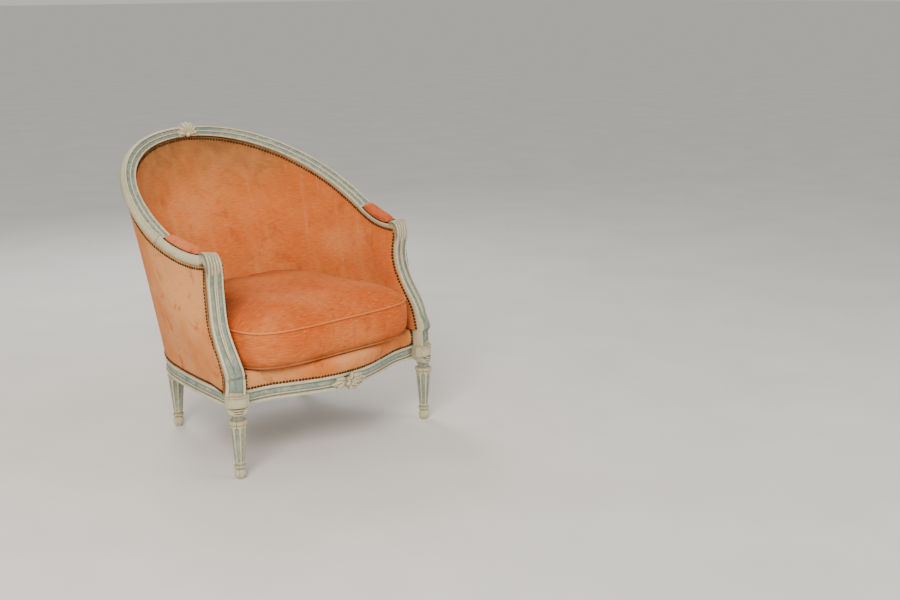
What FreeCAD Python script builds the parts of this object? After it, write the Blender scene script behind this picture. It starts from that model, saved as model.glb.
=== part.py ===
"""Tub-back upholstered armchair with a loose seat cushion, in millimetres.

The chair faces -Y, +Z is up and X = 0 is its plane of symmetry. The pieces are laid out with the
front legs on Y = 0, and the finished chair is then moved so that its origin is the middle of the
bottom of its box. Left and right are as seen from the front.
"""
import FreeCAD, Part
import math
import os
from FreeCAD import Vector

# Overall heights and reaches of the show-wood
CREST_HEIGHT = 861.0            # middle of the top rail's face at the crest
CREST_REACH = 711.0             # the same point behind the front legs
ARM_HEIGHT = 651.0              # middle of the top rail's face where the chair is widest
ARM_HALF_SPAN = 364.0
ARM_WIDEST_REACH = 315.0
RAIL_SQUARENESS = 2.12          # power of the superellipse that the top rail follows in plan
ARM_BEND = (354.0, 216.0, 611.0)
ARM_FRONT = (340.0, 117.0, 600.0)

# Section of the top rail
RAIL_FACE_AT_CREST = 29.0
RAIL_FACE_AT_ARM = 48.0
RAIL_LEAN_AT_CREST = 90.0       # how far the face's width stands up from level, in degrees
RAIL_LEAN_AT_ARM = 10.0
RAIL_THICKNESS = 26.0
CREST_JOINT = 0.60              # places along the rail, from 0 at the arm's front to 1 at the crest
LEVEL_END = 0.25
PAD_REAR = 0.185
PAD_FRONT = 0.025
MOULDING_RISE = 2.6
PAD_SEAT_DEPTH = 3.0
PAD_SEAT_SHARE = 0.74

# Legs
FOOT_RADIUS = 11.5
BALL_RADIUS = 16.0
BALL_HEIGHT = 29.0
RING_TOP = 41.0
TAPER_RADIUS_LOW = 13.5
TAPER_RADIUS_HIGH = 23.0
TAPER_TOP = 157.0
SHOULDER_RADIUS = 24.5
SHOULDER_TOP = 169.0
NECK_RADIUS = 18.0
NECK_TOP = 181.0
FLUTES = 8
FLUTE_SHARE = 0.62              # of the pitch between two flutes
FLUTE_DEPTH_SHARE = 0.20        # of the leg's radius
FRONT_LEG_X = 343.5
FRONT_LEG_CANT = 25.0           # how far the front block turns outwards, in degrees
BLOCK_BOTTOM = 205.0
BLOCK_TOP = 239.0
BLOCK_HALF_WIDTH = 32.0
BLOCK_FRONT = 7.0               # the block's face, in front of the leg's axis
BLOCK_SLAB_BACK = 12.0          # back of its full width, behind the axis
BLOCK_CORE_BACK = 32.0          # back of the narrower core that the rails are tenoned into
BLOCK_CORE_IN = 22.0
BLOCK_CORE_OUT = 15.0
DRUM_RADIUS = 35.0
DRUM_FRONT = 23.0
DRUM_HALF_WIDTH = 27.5
REAR_LEG_PLACE = 0.672          # along the seat outline, from 0 at the front to 1 at the back
REAR_BLOCK_HALF_SHARE = 0.035
REAR_LEG_INSET = 20.0

# Seat frame
SEAT_RAIL_BOTTOM = 197.0
SEAT_RAIL_FACE = 42.0
SEAT_RAIL_REBATE = 22.0
SEAT_RAIL_THICKNESS = 30.0
REBATE_DEPTH = 4.0
SEAT_OUTLINE = [(357.0, 22.0), (350.5, 82.0), (344.5, 160.0), (333.0, 265.0), (302.0, 408.0),
                (234.0, 508.0), (122.0, 539.0), (0.0, 545.0)]
FRONT_RAIL_REACH = 59.0         # how far the middle of the front rail stands before the legs
FRONT_RAIL_HOLLOW = 10.0        # how far its ends stand behind them
FRONT_RAIL_HALF = 292.0
FRONT_RAIL_SWELL = 1.12         # power that narrows the middle swell
TENON_LENGTH = 20.0
TENON_THICKNESS = 9.0
TENON_HEIGHT = 30.0
JOINERY_CLEARANCE = 0.15

# Arm supports: middle of the moulded face, from the block up and over the knuckle
SUPPORT_LINE = [(349.5, -3.5, 239.0), (347.0, -2.5, 285.0), (351.5, 19.0, 352.0),
                (345.5, 58.5, 416.0), (336.5, 81.0, 480.0), (335.5, 85.0, 532.0),
                (338.5, 79.5, 578.0), (339.3, 90.5, 605.0)]
SUPPORT_CANT_AT_BLOCK = 25.0
SUPPORT_CANT_AT_WAIST = 8.0
SUPPORT_FACE_AT_BLOCK = 54.0
SUPPORT_FACE_AT_WAIST = 46.5
SUPPORT_THICKNESS = 30.0
KNUCKLE_RISE = 9.0              # the knuckle's top above the face of the rail behind it
KNUCKLE_HOLLOW = 10.0           # how much thinner the support is where it bends over
PANEL_TOP = 0.10                # where the ridge starts along the support

# Upholstery
CLOTH = 2.2                     # velvet and its lining
HESSIAN = 1.4
WEBBING = 1.5
WEBBING_WIDTH = 52.0
SOFT_GAP = 0.3
SIDE_GAP = 2.8                  # the cloth's front strips beside the bent arm support
SEAT_PADDING = 41.0             # inside wall from the seat outline, at the deck
DECK_HEIGHT = 289.0
DECK_HALF_WIDTH = 306.5
FRONT_BULGE = 3.0
BACK_BULGE = 15.0
ARM_BULGE = 5.0
NAIL_RECESS = 7.0               # the inside cloth lies this far behind the face of the top rail
PAD_CROWN = 17.0
PAD_WIDTH = 35.0
PAD_SECTIONS = 15
TACK_RAIL_LOW = 0.10            # shares of the wall's height
TACK_RAIL_HIGH = 0.17
TACK_GAP = 2.0
STUFFING_GAP = 1.4
POST_WIDTH = 30.0
OUTER_NAIL_DEPTH = 12.0         # cloth edges behind the face of the arm support
INNER_NAIL_DEPTH = 9.0
FRONT_OVERRUN = 25.0            # how far the cloth runs forwards past the arm rail's end
SUPPORT_PASS = 0.045            # stretch of the walls that lies beside the arm support
WALL_STEP = 0.05                # between the places where every wall is shaped
STUFFING_START = 0.055
STUFFING_SPLIT = 0.50
STRAP_PITCH = 78.0
BACK_STRAPS = 5
SEAT_STRAPS = 5

# Loose cushion
CUSHION_HALF_WIDTH = 287.0
CUSHION_MIDDLE = 215.0
CUSHION_FRONT_REACH = 258.0
CUSHION_BACK_REACH = 281.0
CUSHION_FRONT_SQUARENESS = 4.6
CUSHION_BACK_SQUARENESS = 2.75
CUSHION_BOXING = 98.0
CUSHION_CROWN = 56.0
CUSHION_WAIST = 5.0             # how far the long sides are drawn in
CUSHION_POINTS = 24
CUSHION_LEAN_BACK = 20.0        # how much further back the top reaches than the bottom
PIPING_RADIUS = 2.8
PIPING_PROUD = 0.5              # share of its radius that the cord's middle stands out of the seam

# Small joinery
DOWEL_RADIUS = 5.0
DOWEL_LENGTH = 36.0
BLOCK_LEG_LENGTH = 72.0         # arm of a triangular corner block
CORNER_BLOCK_HEIGHT = 38.0
CORNER_BLOCK_LOW = 207.0
CORNER_BLOCK_DEPTH = 14.0       # of a rear block behind the chord of its rails
SCREW_RADIUS = 2.2
SCREW_HEAD_RADIUS = 4.4
SCREW_HEAD_HEIGHT = 2.5
SCREW_LENGTH = 34.0

# Carved bosses
SHELL_LOBES = 7
SHELL_HEIGHT = 37.0
SHELL_HALF_WIDTH = 29.0
SHELL_ROOT_HEIGHT = 853.0
FLOWER_PETALS = 8
FLOWER_RADIUS = 15.0
FLOWER_HEIGHT = 216.0
FLOWER_REACH = 29.0             # how far the flower's heart stands before the rail's face
LEAF_LENGTH = 36.0

SEAT_RAIL_TOP = SEAT_RAIL_BOTTOM + SEAT_RAIL_FACE
TACKING_TOP = SEAT_RAIL_TOP + SEAT_RAIL_REBATE
UP = Vector(0, 0, 1)
TINY = 0.25                     # least rise of a faded moulding


# Curves and frames

def curve_through(points, closed=False):
    """Smooth curve through the points."""
    curve = Part.BSplineCurve()
    curve.interpolate(Points=[Vector(*point) for point in points], PeriodicFlag=closed)
    return curve


class Line:
    """A curve read by its share of length, from 0 to 1, or from 0 at one end to 1 at its middle."""

    def __init__(self, points, symmetric=False):
        if symmetric:
            points = points + [(-x, y, z) for x, y, z in points[-2::-1]]
        self.curve = curve_through(points)
        self.length = self.curve.length() / (2 if symmetric else 1)

    def parameter(self, share):
        return self.curve.parameterAtDistance(self.length * share, self.curve.FirstParameter)

    def at(self, share):
        return self.curve.value(self.parameter(share))

    def heading(self, share):
        return self.curve.tangent(self.parameter(share))[0].normalize()


def blend(start, end, share):
    return start + (end - start) * share


def clamp(value):
    return min(1.0, max(0.0, value))


def shares(first, last, count):
    return [blend(first, last, step / (count - 1)) for step in range(count)]


def flipped(vector):
    return Vector(-vector.x, vector.y, vector.z)


def unit(vector):
    return Vector(vector).normalize()


def turned(angle):
    """Level directions across and out of a face that is turned outwards by the angle."""
    turn = math.radians(angle)
    across = Vector(math.cos(turn), math.sin(turn), 0)
    outward = Vector(math.sin(turn), -math.cos(turn), 0)
    return across, outward


def top_rail_line():
    """Right half of the top rail: the arm's front, its bend, then a quarter superellipse."""
    points = [ARM_FRONT, ARM_BEND]
    power = 2.0 / RAIL_SQUARENESS
    depth = CREST_REACH - ARM_WIDEST_REACH
    for step in range(7):
        angle = math.radians(15 * step)
        forward = math.sin(angle) ** power
        points.append((ARM_HALF_SPAN * abs(math.cos(angle)) ** power if step < 6 else 0.0,
                       ARM_WIDEST_REACH + depth * forward,
                       ARM_HEIGHT + (CREST_HEIGHT - ARM_HEIGHT) * forward))
    return Line(points, symmetric=True)


def seat_line():
    """Right half of the seat outline, from the front block to the middle of the back."""
    return Line([(x, y, 0.0) for x, y in SEAT_OUTLINE], symmetric=True)


def front_rail_line():
    """The serpentine face of the front rail, from left to right."""
    points = []
    sweep = FRONT_RAIL_REACH + FRONT_RAIL_HOLLOW
    for step in range(-6, 7):
        share = abs(step) / 6.0
        wave = (1 - math.cos(math.pi * share ** FRONT_RAIL_SWELL)) / 2
        points.append((FRONT_RAIL_HALF * step / 6.0, -FRONT_RAIL_REACH + sweep * wave, 0.0))
    end = points[-1]
    slope = (24.0, 6.0)
    points.append((end[0] + slope[0], end[1] + slope[1], 0.0))
    points.insert(0, (-end[0] - slope[0], end[1] + slope[1], 0.0))
    return Line(points)


def support_line():
    """Middle of the arm support's face, ending level on the arm rail's own end plane."""
    top = rail_frame(0.0)
    end = top["middle"] + top["normal"] * KNUCKLE_RISE
    points = SUPPORT_LINE + [(end.x, end.y, end.z)]
    return Line(points)


TOP_RAIL = top_rail_line()
SEAT = seat_line()
FRONT_RAIL = front_rail_line()


def rail_frame(place):
    """Where the top rail's face lies, how wide it is and which way it looks."""
    along = TOP_RAIL.heading(place)
    outward = Vector(along.y, -along.x, 0).normalize()
    rise = clamp((place - LEVEL_END) / (1 - LEVEL_END))
    lean = math.radians(blend(RAIL_LEAN_AT_ARM, RAIL_LEAN_AT_CREST, rise))
    across = outward * math.cos(lean) + UP * math.sin(lean)
    across = unit(across - along * across.dot(along))
    return {"middle": TOP_RAIL.at(place), "along": along, "across": across,
            "normal": unit(across.cross(along)), "outward": outward, "rise": rise,
            "face": blend(RAIL_FACE_AT_ARM, RAIL_FACE_AT_CREST, rise)}


def seat_frame(place):
    """Foot point of the seat outline with its outward direction."""
    along = SEAT.heading(place)
    return {"middle": SEAT.at(place), "outward": Vector(along.y, -along.x, 0).normalize()}


SUPPORT = support_line()


def support_frame(place):
    """Where the arm support's face lies; its two ends are square to the block and the arm rail."""
    along = SUPPORT.heading(place)
    if place <= 0:
        along = Vector(UP)
    if place >= 1:
        along = rail_frame(0.0)["along"]
    waist = clamp(place / 0.45)
    cant = blend(SUPPORT_CANT_AT_BLOCK, SUPPORT_CANT_AT_WAIST, waist)
    top = clamp((place - 0.75) / 0.25)
    end_across = rail_frame(0.0)["across"]
    across = blend(turned(cant)[0], end_across, top)
    across = unit(across - along * across.dot(along))
    return {"middle": SUPPORT.at(place), "along": along, "across": across,
            "normal": unit(across.cross(along)),
            "face": blend(SUPPORT_FACE_AT_BLOCK, SUPPORT_FACE_AT_WAIST, waist),
            "thickness": SUPPORT_THICKNESS - KNUCKLE_HOLLOW * math.sin(math.pi * top) ** 2}


def mirrored_frame(frame):
    """The same section on the left half, still read from the arm to the crest."""
    other = dict(frame)
    for key in ("middle", "along", "across", "normal", "outward"):
        if key in frame:
            other[key] = flipped(frame[key])
    return other


# Sections and lofts

def place_on(frame, sideways, height):
    """Point at a share of the face's width from its middle, and a height out of the face."""
    return frame["middle"] + frame["across"] * (sideways * frame["face"]) + frame["normal"] * height


def chain(points):
    """Edges that join the points in a ring."""
    ring = points + [points[0]]
    return [Part.makeLine(a, b) for a, b in zip(ring, ring[1:])]


def moulded_section(frame, strips, thickness):
    """Closed section whose face is a row of beads and hollows, each a share of the width."""
    edges = []
    start = -0.5
    for width, rise in strips:
        low = place_on(frame, start, 0)
        crown = place_on(frame, start + width / 2, rise)
        high = place_on(frame, start + width, 0)
        edges.append(Part.Arc(low, crown, high).toShape())
        start += width
    corners = [high, place_on(frame, 0.5, -thickness), place_on(frame, -0.5, -thickness),
               place_on(frame, -0.5, 0)]
    edges += [Part.makeLine(a, b) for a, b in zip(corners, corners[1:])]
    return Part.Wire(edges)


def loft(wires, ruled=False):
    return Part.makeLoft(wires, True, ruled)


def rail_strips():
    """Outer bead, blue hollow, ridge, hollow and inner bead, from the inner edge outwards."""
    rise = MOULDING_RISE
    return [(0.17, rise), (0.26, -rise), (0.15, rise), (0.27, -rise), (0.15, rise)]


def support_strips(place):
    """The ridge of the support fades into a sunk panel just above the block."""
    ridge = blend(-TINY * 4, MOULDING_RISE, clamp((place - PANEL_TOP) / 0.12))
    if abs(ridge) < TINY:
        ridge = TINY
    rise = MOULDING_RISE
    return [(0.15, rise), (0.24, -rise), (0.22, ridge), (0.24, -rise), (0.15, rise)]


def seat_rail_section(point, outward):
    """Moulded show face below, rebate for the cloth above, plain inside."""
    def at(depth, height):
        return point - outward * depth + UP * height
    fillet = 7.0
    cove = 3.4
    bead = 2.6
    bead_low = SEAT_RAIL_BOTTOM + 13.0
    low = at(0, SEAT_RAIL_BOTTOM)
    corners = [low, at(0, SEAT_RAIL_BOTTOM + fillet), at(cove, SEAT_RAIL_BOTTOM + fillet + cove),
               at(cove, bead_low)]
    edges = [Part.makeLine(a, b) for a, b in zip(corners, corners[1:])]
    edges.append(Part.Arc(at(cove, bead_low), at(cove - bead, bead_low + bead),
                          at(cove, bead_low + 2 * bead)).toShape())
    corners = [at(cove, bead_low + 2 * bead), at(cove, SEAT_RAIL_TOP - fillet - cove),
               at(0, SEAT_RAIL_TOP - fillet), at(0, SEAT_RAIL_TOP), at(REBATE_DEPTH, SEAT_RAIL_TOP),
               at(REBATE_DEPTH, TACKING_TOP), at(SEAT_RAIL_THICKNESS, TACKING_TOP),
               at(SEAT_RAIL_THICKNESS, SEAT_RAIL_BOTTOM), low]
    edges += [Part.makeLine(a, b) for a, b in zip(corners, corners[1:])]
    return Part.Wire(edges)


def other_side(shape):
    """The same piece on the left of the chair."""
    return shape.mirror(Vector(0, 0, 0), Vector(1, 0, 0))


def box_on(middle, along, across, length, width, low, high):
    """Level box with its length along a direction, centred on a point."""
    a = along * (length / 2)
    b = across * (width / 2)
    base = Vector(middle.x, middle.y, low)
    ring = [base - a - b, base + a - b, base + a + b, base - a + b]
    return Part.Face(Part.Wire(chain(ring))).extrude(UP * (high - low))


def largest(shape):
    """The main solid of what a cut leaves."""
    return max(shape.Solids, key=lambda solid: solid.Volume)


def rod(start, end, radius):
    way = end - start
    return Part.makeCylinder(radius, way.Length, start, way)


# Legs

def turned_solid(profile):
    """Solid turned from (radius, height) points; a third value bulges the run that ends there."""
    edges = []
    first = Vector(0, 0, profile[0][1])
    last = first
    for point in profile:
        here = Vector(point[0], 0, point[1])
        if len(point) == 3:
            middle = (last + here) * 0.5 + Vector(point[2], 0, 0)
            edges.append(Part.Arc(last, middle, here).toShape())
        else:
            edges.append(Part.makeLine(last, here))
        last = here
    top = Vector(0, 0, last.z)
    edges.append(Part.makeLine(last, top))
    edges.append(Part.makeLine(top, first))
    face = Part.Face(Part.Wire(edges))
    return face.revolve(Vector(0, 0, 0), UP, 360)


def fluted_ring(radius, height):
    """Ring of rounded hollows and narrow lands, read round the leg."""
    pitch = 2 * math.pi / FLUTES
    half = pitch * FLUTE_SHARE / 2
    edges = []

    def at(angle, reach):
        return Vector(reach * math.cos(angle), reach * math.sin(angle), height)
    for step in range(FLUTES):
        middle = pitch * step
        low = at(middle - half, radius)
        high = at(middle + half, radius)
        hollow = at(middle, radius * (1 - FLUTE_DEPTH_SHARE))
        edges.append(Part.Arc(low, hollow, high).toShape())
        land = at(middle + pitch / 2, radius)
        edges.append(Part.Arc(high, land, at(middle + pitch - half, radius)).toShape())
    return Part.Wire(edges)


def turned_leg(top):
    """Fluted taper between a ball foot and a shouldered neck, up to the height given."""
    ring_low = BALL_HEIGHT + 2
    shaft_low = RING_TOP + 6
    shaft_high = TAPER_TOP - 7
    foot = turned_solid([(FOOT_RADIUS, 0), (TAPER_RADIUS_LOW, BALL_HEIGHT, 3.2),
                         (TAPER_RADIUS_LOW, ring_low), (TAPER_RADIUS_LOW, RING_TOP, BALL_RADIUS
                          - TAPER_RADIUS_LOW), (TAPER_RADIUS_LOW, shaft_low)])
    shaft = loft([fluted_ring(TAPER_RADIUS_LOW, shaft_low),
                  fluted_ring(TAPER_RADIUS_HIGH, shaft_high)], ruled=True)
    cap = turned_solid([(TAPER_RADIUS_HIGH, shaft_high), (TAPER_RADIUS_HIGH, TAPER_TOP),
                        (SHOULDER_RADIUS, TAPER_TOP + 1.5), (SHOULDER_RADIUS, SHOULDER_TOP - 3),
                        (NECK_RADIUS, SHOULDER_TOP, 1.2), (NECK_RADIUS, NECK_TOP, -1.5),
                        (NECK_RADIUS, top)])
    return foot.fuse([shaft, cap]).removeSplitter()


def block_part(front, back, inside, outside, low, high):
    """Upright piece of the canted front block, placed from the leg's axis."""
    across, outward = turned(FRONT_LEG_CANT)
    middle = outward * ((front - back) / 2) + across * ((outside - inside) / 2)
    return box_on(middle, across, outward, inside + outside, front + back, low, high)


def front_block():
    """Canted block with a bowed front, on a coved collar with small steps."""
    _, outward = turned(FRONT_LEG_CANT)
    wide = BLOCK_HALF_WIDTH
    body = block_part(BLOCK_FRONT, BLOCK_SLAB_BACK, wide, wide, NECK_TOP, BLOCK_TOP)
    core = block_part(0, BLOCK_CORE_BACK, BLOCK_CORE_IN, BLOCK_CORE_OUT, NECK_TOP, BLOCK_TOP)
    cove = Part.makeCone(NECK_RADIUS, NECK_RADIUS + 26, BLOCK_BOTTOM - NECK_TOP, Vector(0, 0, NECK_TOP))
    above = Part.makeCylinder(80, BLOCK_TOP - BLOCK_BOTTOM, Vector(0, 0, BLOCK_BOTTOM))
    body = body.fuse(core).common(cove.fuse(above))
    bow_axis = outward * (DRUM_FRONT - DRUM_RADIUS) + UP * BLOCK_BOTTOM
    bow = Part.makeCylinder(DRUM_RADIUS, BLOCK_TOP - 2 - BLOCK_BOTTOM, bow_axis)
    bow = bow.common(block_part(DRUM_FRONT + 1, 0, DRUM_HALF_WIDTH, DRUM_HALF_WIDTH,
                                BLOCK_BOTTOM, BLOCK_TOP))
    steps = [bow]
    for step in range(3):
        low = NECK_TOP + 3 + 7 * step
        reach = NECK_RADIUS + 0.8 * step
        steps.append(Part.makeCylinder(reach, 4.5, Vector(0, 0, low)).common(
            block_part(reach + 1, 0, 12, 12, low, low + 4.5)))
    return body.fuse(steps).removeSplitter()


def front_leg_right():
    leg = turned_leg(NECK_TOP + 0.5).fuse(front_block())
    leg.translate(Vector(FRONT_LEG_X, 0, 0))
    return leg.cut(base_dowel(0.1))


def rail_stop():
    """Room over the right front block and under the arm support, which the seat rails end at."""
    low = SEAT_RAIL_BOTTOM - 1
    high = TACKING_TOP + 1
    wide = BLOCK_HALF_WIDTH
    slab = block_part(BLOCK_FRONT + 40, BLOCK_SLAB_BACK, wide, wide + 30, low, high)
    core = block_part(0, BLOCK_CORE_BACK, BLOCK_CORE_IN, BLOCK_CORE_OUT, low, BLOCK_TOP)
    seat = block_part(0, SUPPORT_THICKNESS - 4, wide - 8, wide + 4, BLOCK_TOP - 1, high)
    stop = slab.fuse([core, seat])
    stop.translate(Vector(FRONT_LEG_X, 0, 0))
    return stop


def seat_run(first, last, count):
    """Moulded seat rail between two places on the right half of the seat outline."""
    wires = []
    for place in shares(first, last, count):
        frame = seat_frame(place)
        wires.append(seat_rail_section(frame["middle"], frame["outward"]))
    return loft(wires)


def tenon_at(place, direction, clearance=0.0):
    """Level tenon that runs on from a rail's end along its own direction."""
    frame = seat_frame(place)
    along = SEAT.heading(place) * direction
    middle = frame["middle"] - frame["outward"] * (SEAT_RAIL_THICKNESS / 2)
    reach = TENON_LENGTH + clearance
    low = SEAT_RAIL_BOTTOM + (SEAT_RAIL_FACE - TENON_HEIGHT) / 2
    return box_on(middle + along * (reach / 2), along, frame["outward"], reach,
                  TENON_THICKNESS + 2 * clearance, low - clearance, low + TENON_HEIGHT + clearance)


def rear_places():
    return REAR_LEG_PLACE - REAR_BLOCK_HALF_SHARE, REAR_LEG_PLACE + REAR_BLOCK_HALF_SHARE


def rear_leg_right():
    """Turned leg, moulded block in line with the rails, and raked post up to the top rail."""
    low, high = rear_places()
    block = seat_run(low, high, 3)
    frame = seat_frame(REAR_LEG_PLACE)
    axis = frame["middle"] - frame["outward"] * REAR_LEG_INSET
    leg = turned_leg(SEAT_RAIL_BOTTOM + 1)
    leg.translate(axis)
    mortises = [tenon_at(low, 1, JOINERY_CLEARANCE), tenon_at(high, -1, JOINERY_CLEARANCE)]
    post = largest(rear_post().cut(crest_run()))
    return leg.fuse([block.cut(Part.makeCompound(mortises)), post]).removeSplitter()


def side_rail_right():
    low, _ = rear_places()
    rail = seat_run(0.0, low, 9).cut(rail_stop())
    return rail.fuse(tenon_at(low, 1)).removeSplitter()


def back_rail():
    _, high = rear_places()
    half = seat_run(high, 1.0, 5)
    right = half.fuse(tenon_at(high, -1))
    return right.fuse(other_side(right)).removeSplitter()


def front_rail():
    """Serpentine rail with a carved flower, cut off at the two front blocks."""
    wires = []
    for place in shares(0.0, 1.0, 21):
        along = FRONT_RAIL.heading(place)
        wires.append(seat_rail_section(FRONT_RAIL.at(place), Vector(along.y, -along.x, 0)))
    rail = loft(wires)
    stop = rail_stop()
    rail = rail.cut(stop).cut(other_side(stop))
    return rail.fuse(front_flower()).removeSplitter()


# Carved bosses

def front_flower():
    """Petals round a heart, with leaves each side, on the middle of the front rail."""
    face = -FRONT_RAIL_REACH
    pieces = [Part.makeSphere(10.0, Vector(0, face - FLOWER_REACH + 10, FLOWER_HEIGHT))]
    pieces.append(Part.makeCylinder(13.0, FLOWER_REACH - 10, Vector(0, face + 4, FLOWER_HEIGHT),
                                    Vector(0, -1, 0)))
    for petal in range(FLOWER_PETALS):
        angle = 2 * math.pi * petal / FLOWER_PETALS
        reach = Vector(math.cos(angle), 0.15, math.sin(angle))
        pieces.append(Part.makeCone(4.0, 7.5, FLOWER_RADIUS,
                                    Vector(0, face - FLOWER_REACH * 0.42, FLOWER_HEIGHT), reach))
    for side in (-1, 1):
        for droop in (-0.28, 0.12):
            way = Vector(side, 0.15, droop)
            pieces.append(Part.makeCone(9.0, 2.0, LEAF_LENGTH + FLOWER_RADIUS,
                                        Vector(0, face - 4, FLOWER_HEIGHT), way))
    boss = pieces[0].fuse(pieces[1:])
    keep = Part.makeBox(160, 60, SEAT_RAIL_FACE + 14,
                        Vector(-80, face - 50, SEAT_RAIL_TOP - SEAT_RAIL_FACE - 10))
    return boss.common(keep)


def crest_shell():
    """Fan of rounded lobes over the face of the crest."""
    root = Vector(0, CREST_REACH - 4, SHELL_ROOT_HEIGHT)
    tip_radius = 6.5
    lobes = [Part.makeSphere(7.0, root)]
    for lobe in range(SHELL_LOBES):
        angle = math.radians(180.0 * (lobe + 0.5) / SHELL_LOBES)
        way = Vector((SHELL_HALF_WIDTH - tip_radius) * math.cos(angle), 1.5,
                     (SHELL_HEIGHT - tip_radius) * math.sin(angle))
        lobes.append(Part.makeCone(2.5, tip_radius, way.Length, root, way))
        lobes.append(Part.makeSphere(tip_radius, root + way))
    return lobes[0].fuse(lobes[1:])


# Top rail, arm rails and supports

def rail_run(frames):
    return loft([moulded_section(frame, rail_strips(), RAIL_THICKNESS) for frame in frames])


def crest_run():
    right = [rail_frame(place) for place in shares(CREST_JOINT, 1.0, 6)]
    left = [mirrored_frame(frame) for frame in right[:-1]]
    return rail_run(left + right[::-1])


def crest_rail():
    """Moulded top rail between its two joints, with the carved shell."""
    rail = crest_run().fuse(crest_shell()).removeSplitter()
    holes = [crest_dowel(height, 0.1) for height in (-1, 1)]
    holes += [other_side(hole) for hole in holes]
    return rail.cut(Part.makeCompound(holes))


def crest_dowel(side, clearance=0.0):
    """Dowel across the joint between the crest rail and an arm rail."""
    frame = rail_frame(CREST_JOINT)
    middle = frame["middle"] - frame["normal"] * (RAIL_THICKNESS * 0.55)
    middle += frame["across"] * (side * 8.0)
    half = frame["along"] * (DOWEL_LENGTH / 2 + clearance)
    return rod(middle - half, middle + half, DOWEL_RADIUS * 0.8 + clearance)


def pad_section(frame, width, low, crown):
    """D shape on the rail's face: flat below, crowned above."""
    share = width / frame["face"] / 2
    left = place_on(frame, -share, low)
    right = place_on(frame, share, low)
    shoulder = low + (crown - low) * 0.45
    left_side = place_on(frame, -share, shoulder)
    right_side = place_on(frame, share, shoulder)
    top = place_on(frame, 0, crown)
    return Part.Wire([Part.makeLine(left, right), Part.makeLine(right, right_side),
                      Part.Arc(right_side, top, left_side).toShape(), Part.makeLine(left_side, left)])


def arm_pad(inset):
    """Crowned pad whose two ends are drawn in and rounded down."""
    wires = []
    low = -PAD_SEAT_DEPTH + SOFT_GAP
    margin = inset / TOP_RAIL.length
    for place in shares(PAD_FRONT + margin, PAD_REAR - margin, PAD_SECTIONS):
        middle = (place - (PAD_FRONT + PAD_REAR) / 2) / (PAD_REAR - PAD_FRONT) * 2
        full = (1 - abs(middle) ** 4) ** 0.5 if abs(middle) < 1 else 0.0
        width = (PAD_WIDTH - 2 * inset) * blend(0.72, 1.0, full)
        crown = blend(2.5, PAD_CROWN, full) - inset
        wires.append(pad_section(rail_frame(place), width, low, crown))
    return loft(wires, ruled=True)


def pad_seat():
    """Pocket in the arm rail that the pad is nailed into."""
    wires = []
    for place in shares(-0.001, PAD_REAR + 0.003, 6):
        frame = rail_frame(place)
        share = PAD_SEAT_SHARE / 2
        ring = [place_on(frame, -share, -PAD_SEAT_DEPTH), place_on(frame, share, -PAD_SEAT_DEPTH),
                place_on(frame, share, MOULDING_RISE + 2), place_on(frame, -share, MOULDING_RISE + 2)]
        wires.append(Part.Wire(chain(ring)))
    return loft(wires)


def arm_rail_right():
    rail = rail_run([rail_frame(place) for place in shares(0.0, CREST_JOINT, 12)])
    holes = [crest_dowel(height, 0.1) for height in (-1, 1)] + [knuckle_dowel(0.1)]
    return rail.cut(Part.makeCompound([pad_seat()] + holes))


def knuckle_dowel(clearance=0.0):
    """Dowel that ties the knuckle to the front of the arm rail."""
    frame = rail_frame(0.0)
    middle = frame["middle"] - frame["normal"] * (RAIL_THICKNESS * 0.55)
    half = frame["along"] * (DOWEL_LENGTH / 2 + clearance)
    return rod(middle - half * 0.9, middle + half, DOWEL_RADIUS + clearance)


def base_dowel(clearance=0.0):
    """Dowel that ties the arm support to the leg's block."""
    frame = support_frame(0.0)
    middle = frame["middle"] - frame["normal"] * (SUPPORT_THICKNESS / 2)
    half = UP * (DOWEL_LENGTH / 2 + clearance)
    return rod(middle - half, middle + half, DOWEL_RADIUS + clearance)


def arm_support_right():
    frames = [support_frame(place) for place in shares(0.0, 1.0, 19)]
    body = loft([moulded_section(frame, support_strips(place), frame["thickness"])
                 for frame, place in zip(frames, shares(0.0, 1.0, 19))])
    return body.cut(Part.makeCompound([knuckle_dowel(0.1), base_dowel(0.1)]))


# Walls: outside cloth, frame zone, webbing, hessian, stuffing and inside cloth

def lead(place, share):
    """How closely a wall follows the arm support: 1 at its front edge, fading along the side."""
    reach = blend(0.06, 0.40, clamp(share / 0.25))
    along = clamp(place / reach)
    return 1 - along * along * (3 - 2 * along)


def top_frame(place):
    """Frame of the top rail, run on forwards under the knuckle at the wall's front edge."""
    shifted = place - FRONT_OVERRUN / TOP_RAIL.length * lead(place, 1.0)
    frame = rail_frame(max(0.0, shifted))
    if shifted < 0:
        frame["middle"] = frame["middle"] + frame["along"] * (shifted * TOP_RAIL.length)
    return frame


def outer_top(place):
    """Where the outside cloth meets the back of the top rail."""
    frame = top_frame(place)
    stand = RAIL_THICKNESS + 2 * SOFT_GAP + CLOTH * frame["across"].z
    return place_on(frame, blend(0.5, -0.5, frame["rise"]), -stand)


def inner_top(place):
    """Where the inside cloth is nailed, just behind the inner edge of the top rail."""
    frame = top_frame(place)
    return place_on(frame, -0.5, -NAIL_RECESS) - frame["across"] * (CLOTH + 2 * SOFT_GAP)


def middle_top(place):
    """Top of the webbing: under the arm rail, and under the inner edge at the crest."""
    frame = top_frame(place)
    first = clamp(frame["rise"] * 2)
    second = clamp(frame["rise"] * 2 - 1)
    sideways = blend(-0.35, -0.53, first)
    under = RAIL_THICKNESS + 3 * SOFT_GAP + (WEBBING + HESSIAN + 2 * SOFT_GAP) * frame["across"].z
    depth = blend(under, RAIL_THICKNESS * 0.55, second)
    return place_on(frame, sideways, -depth)


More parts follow.
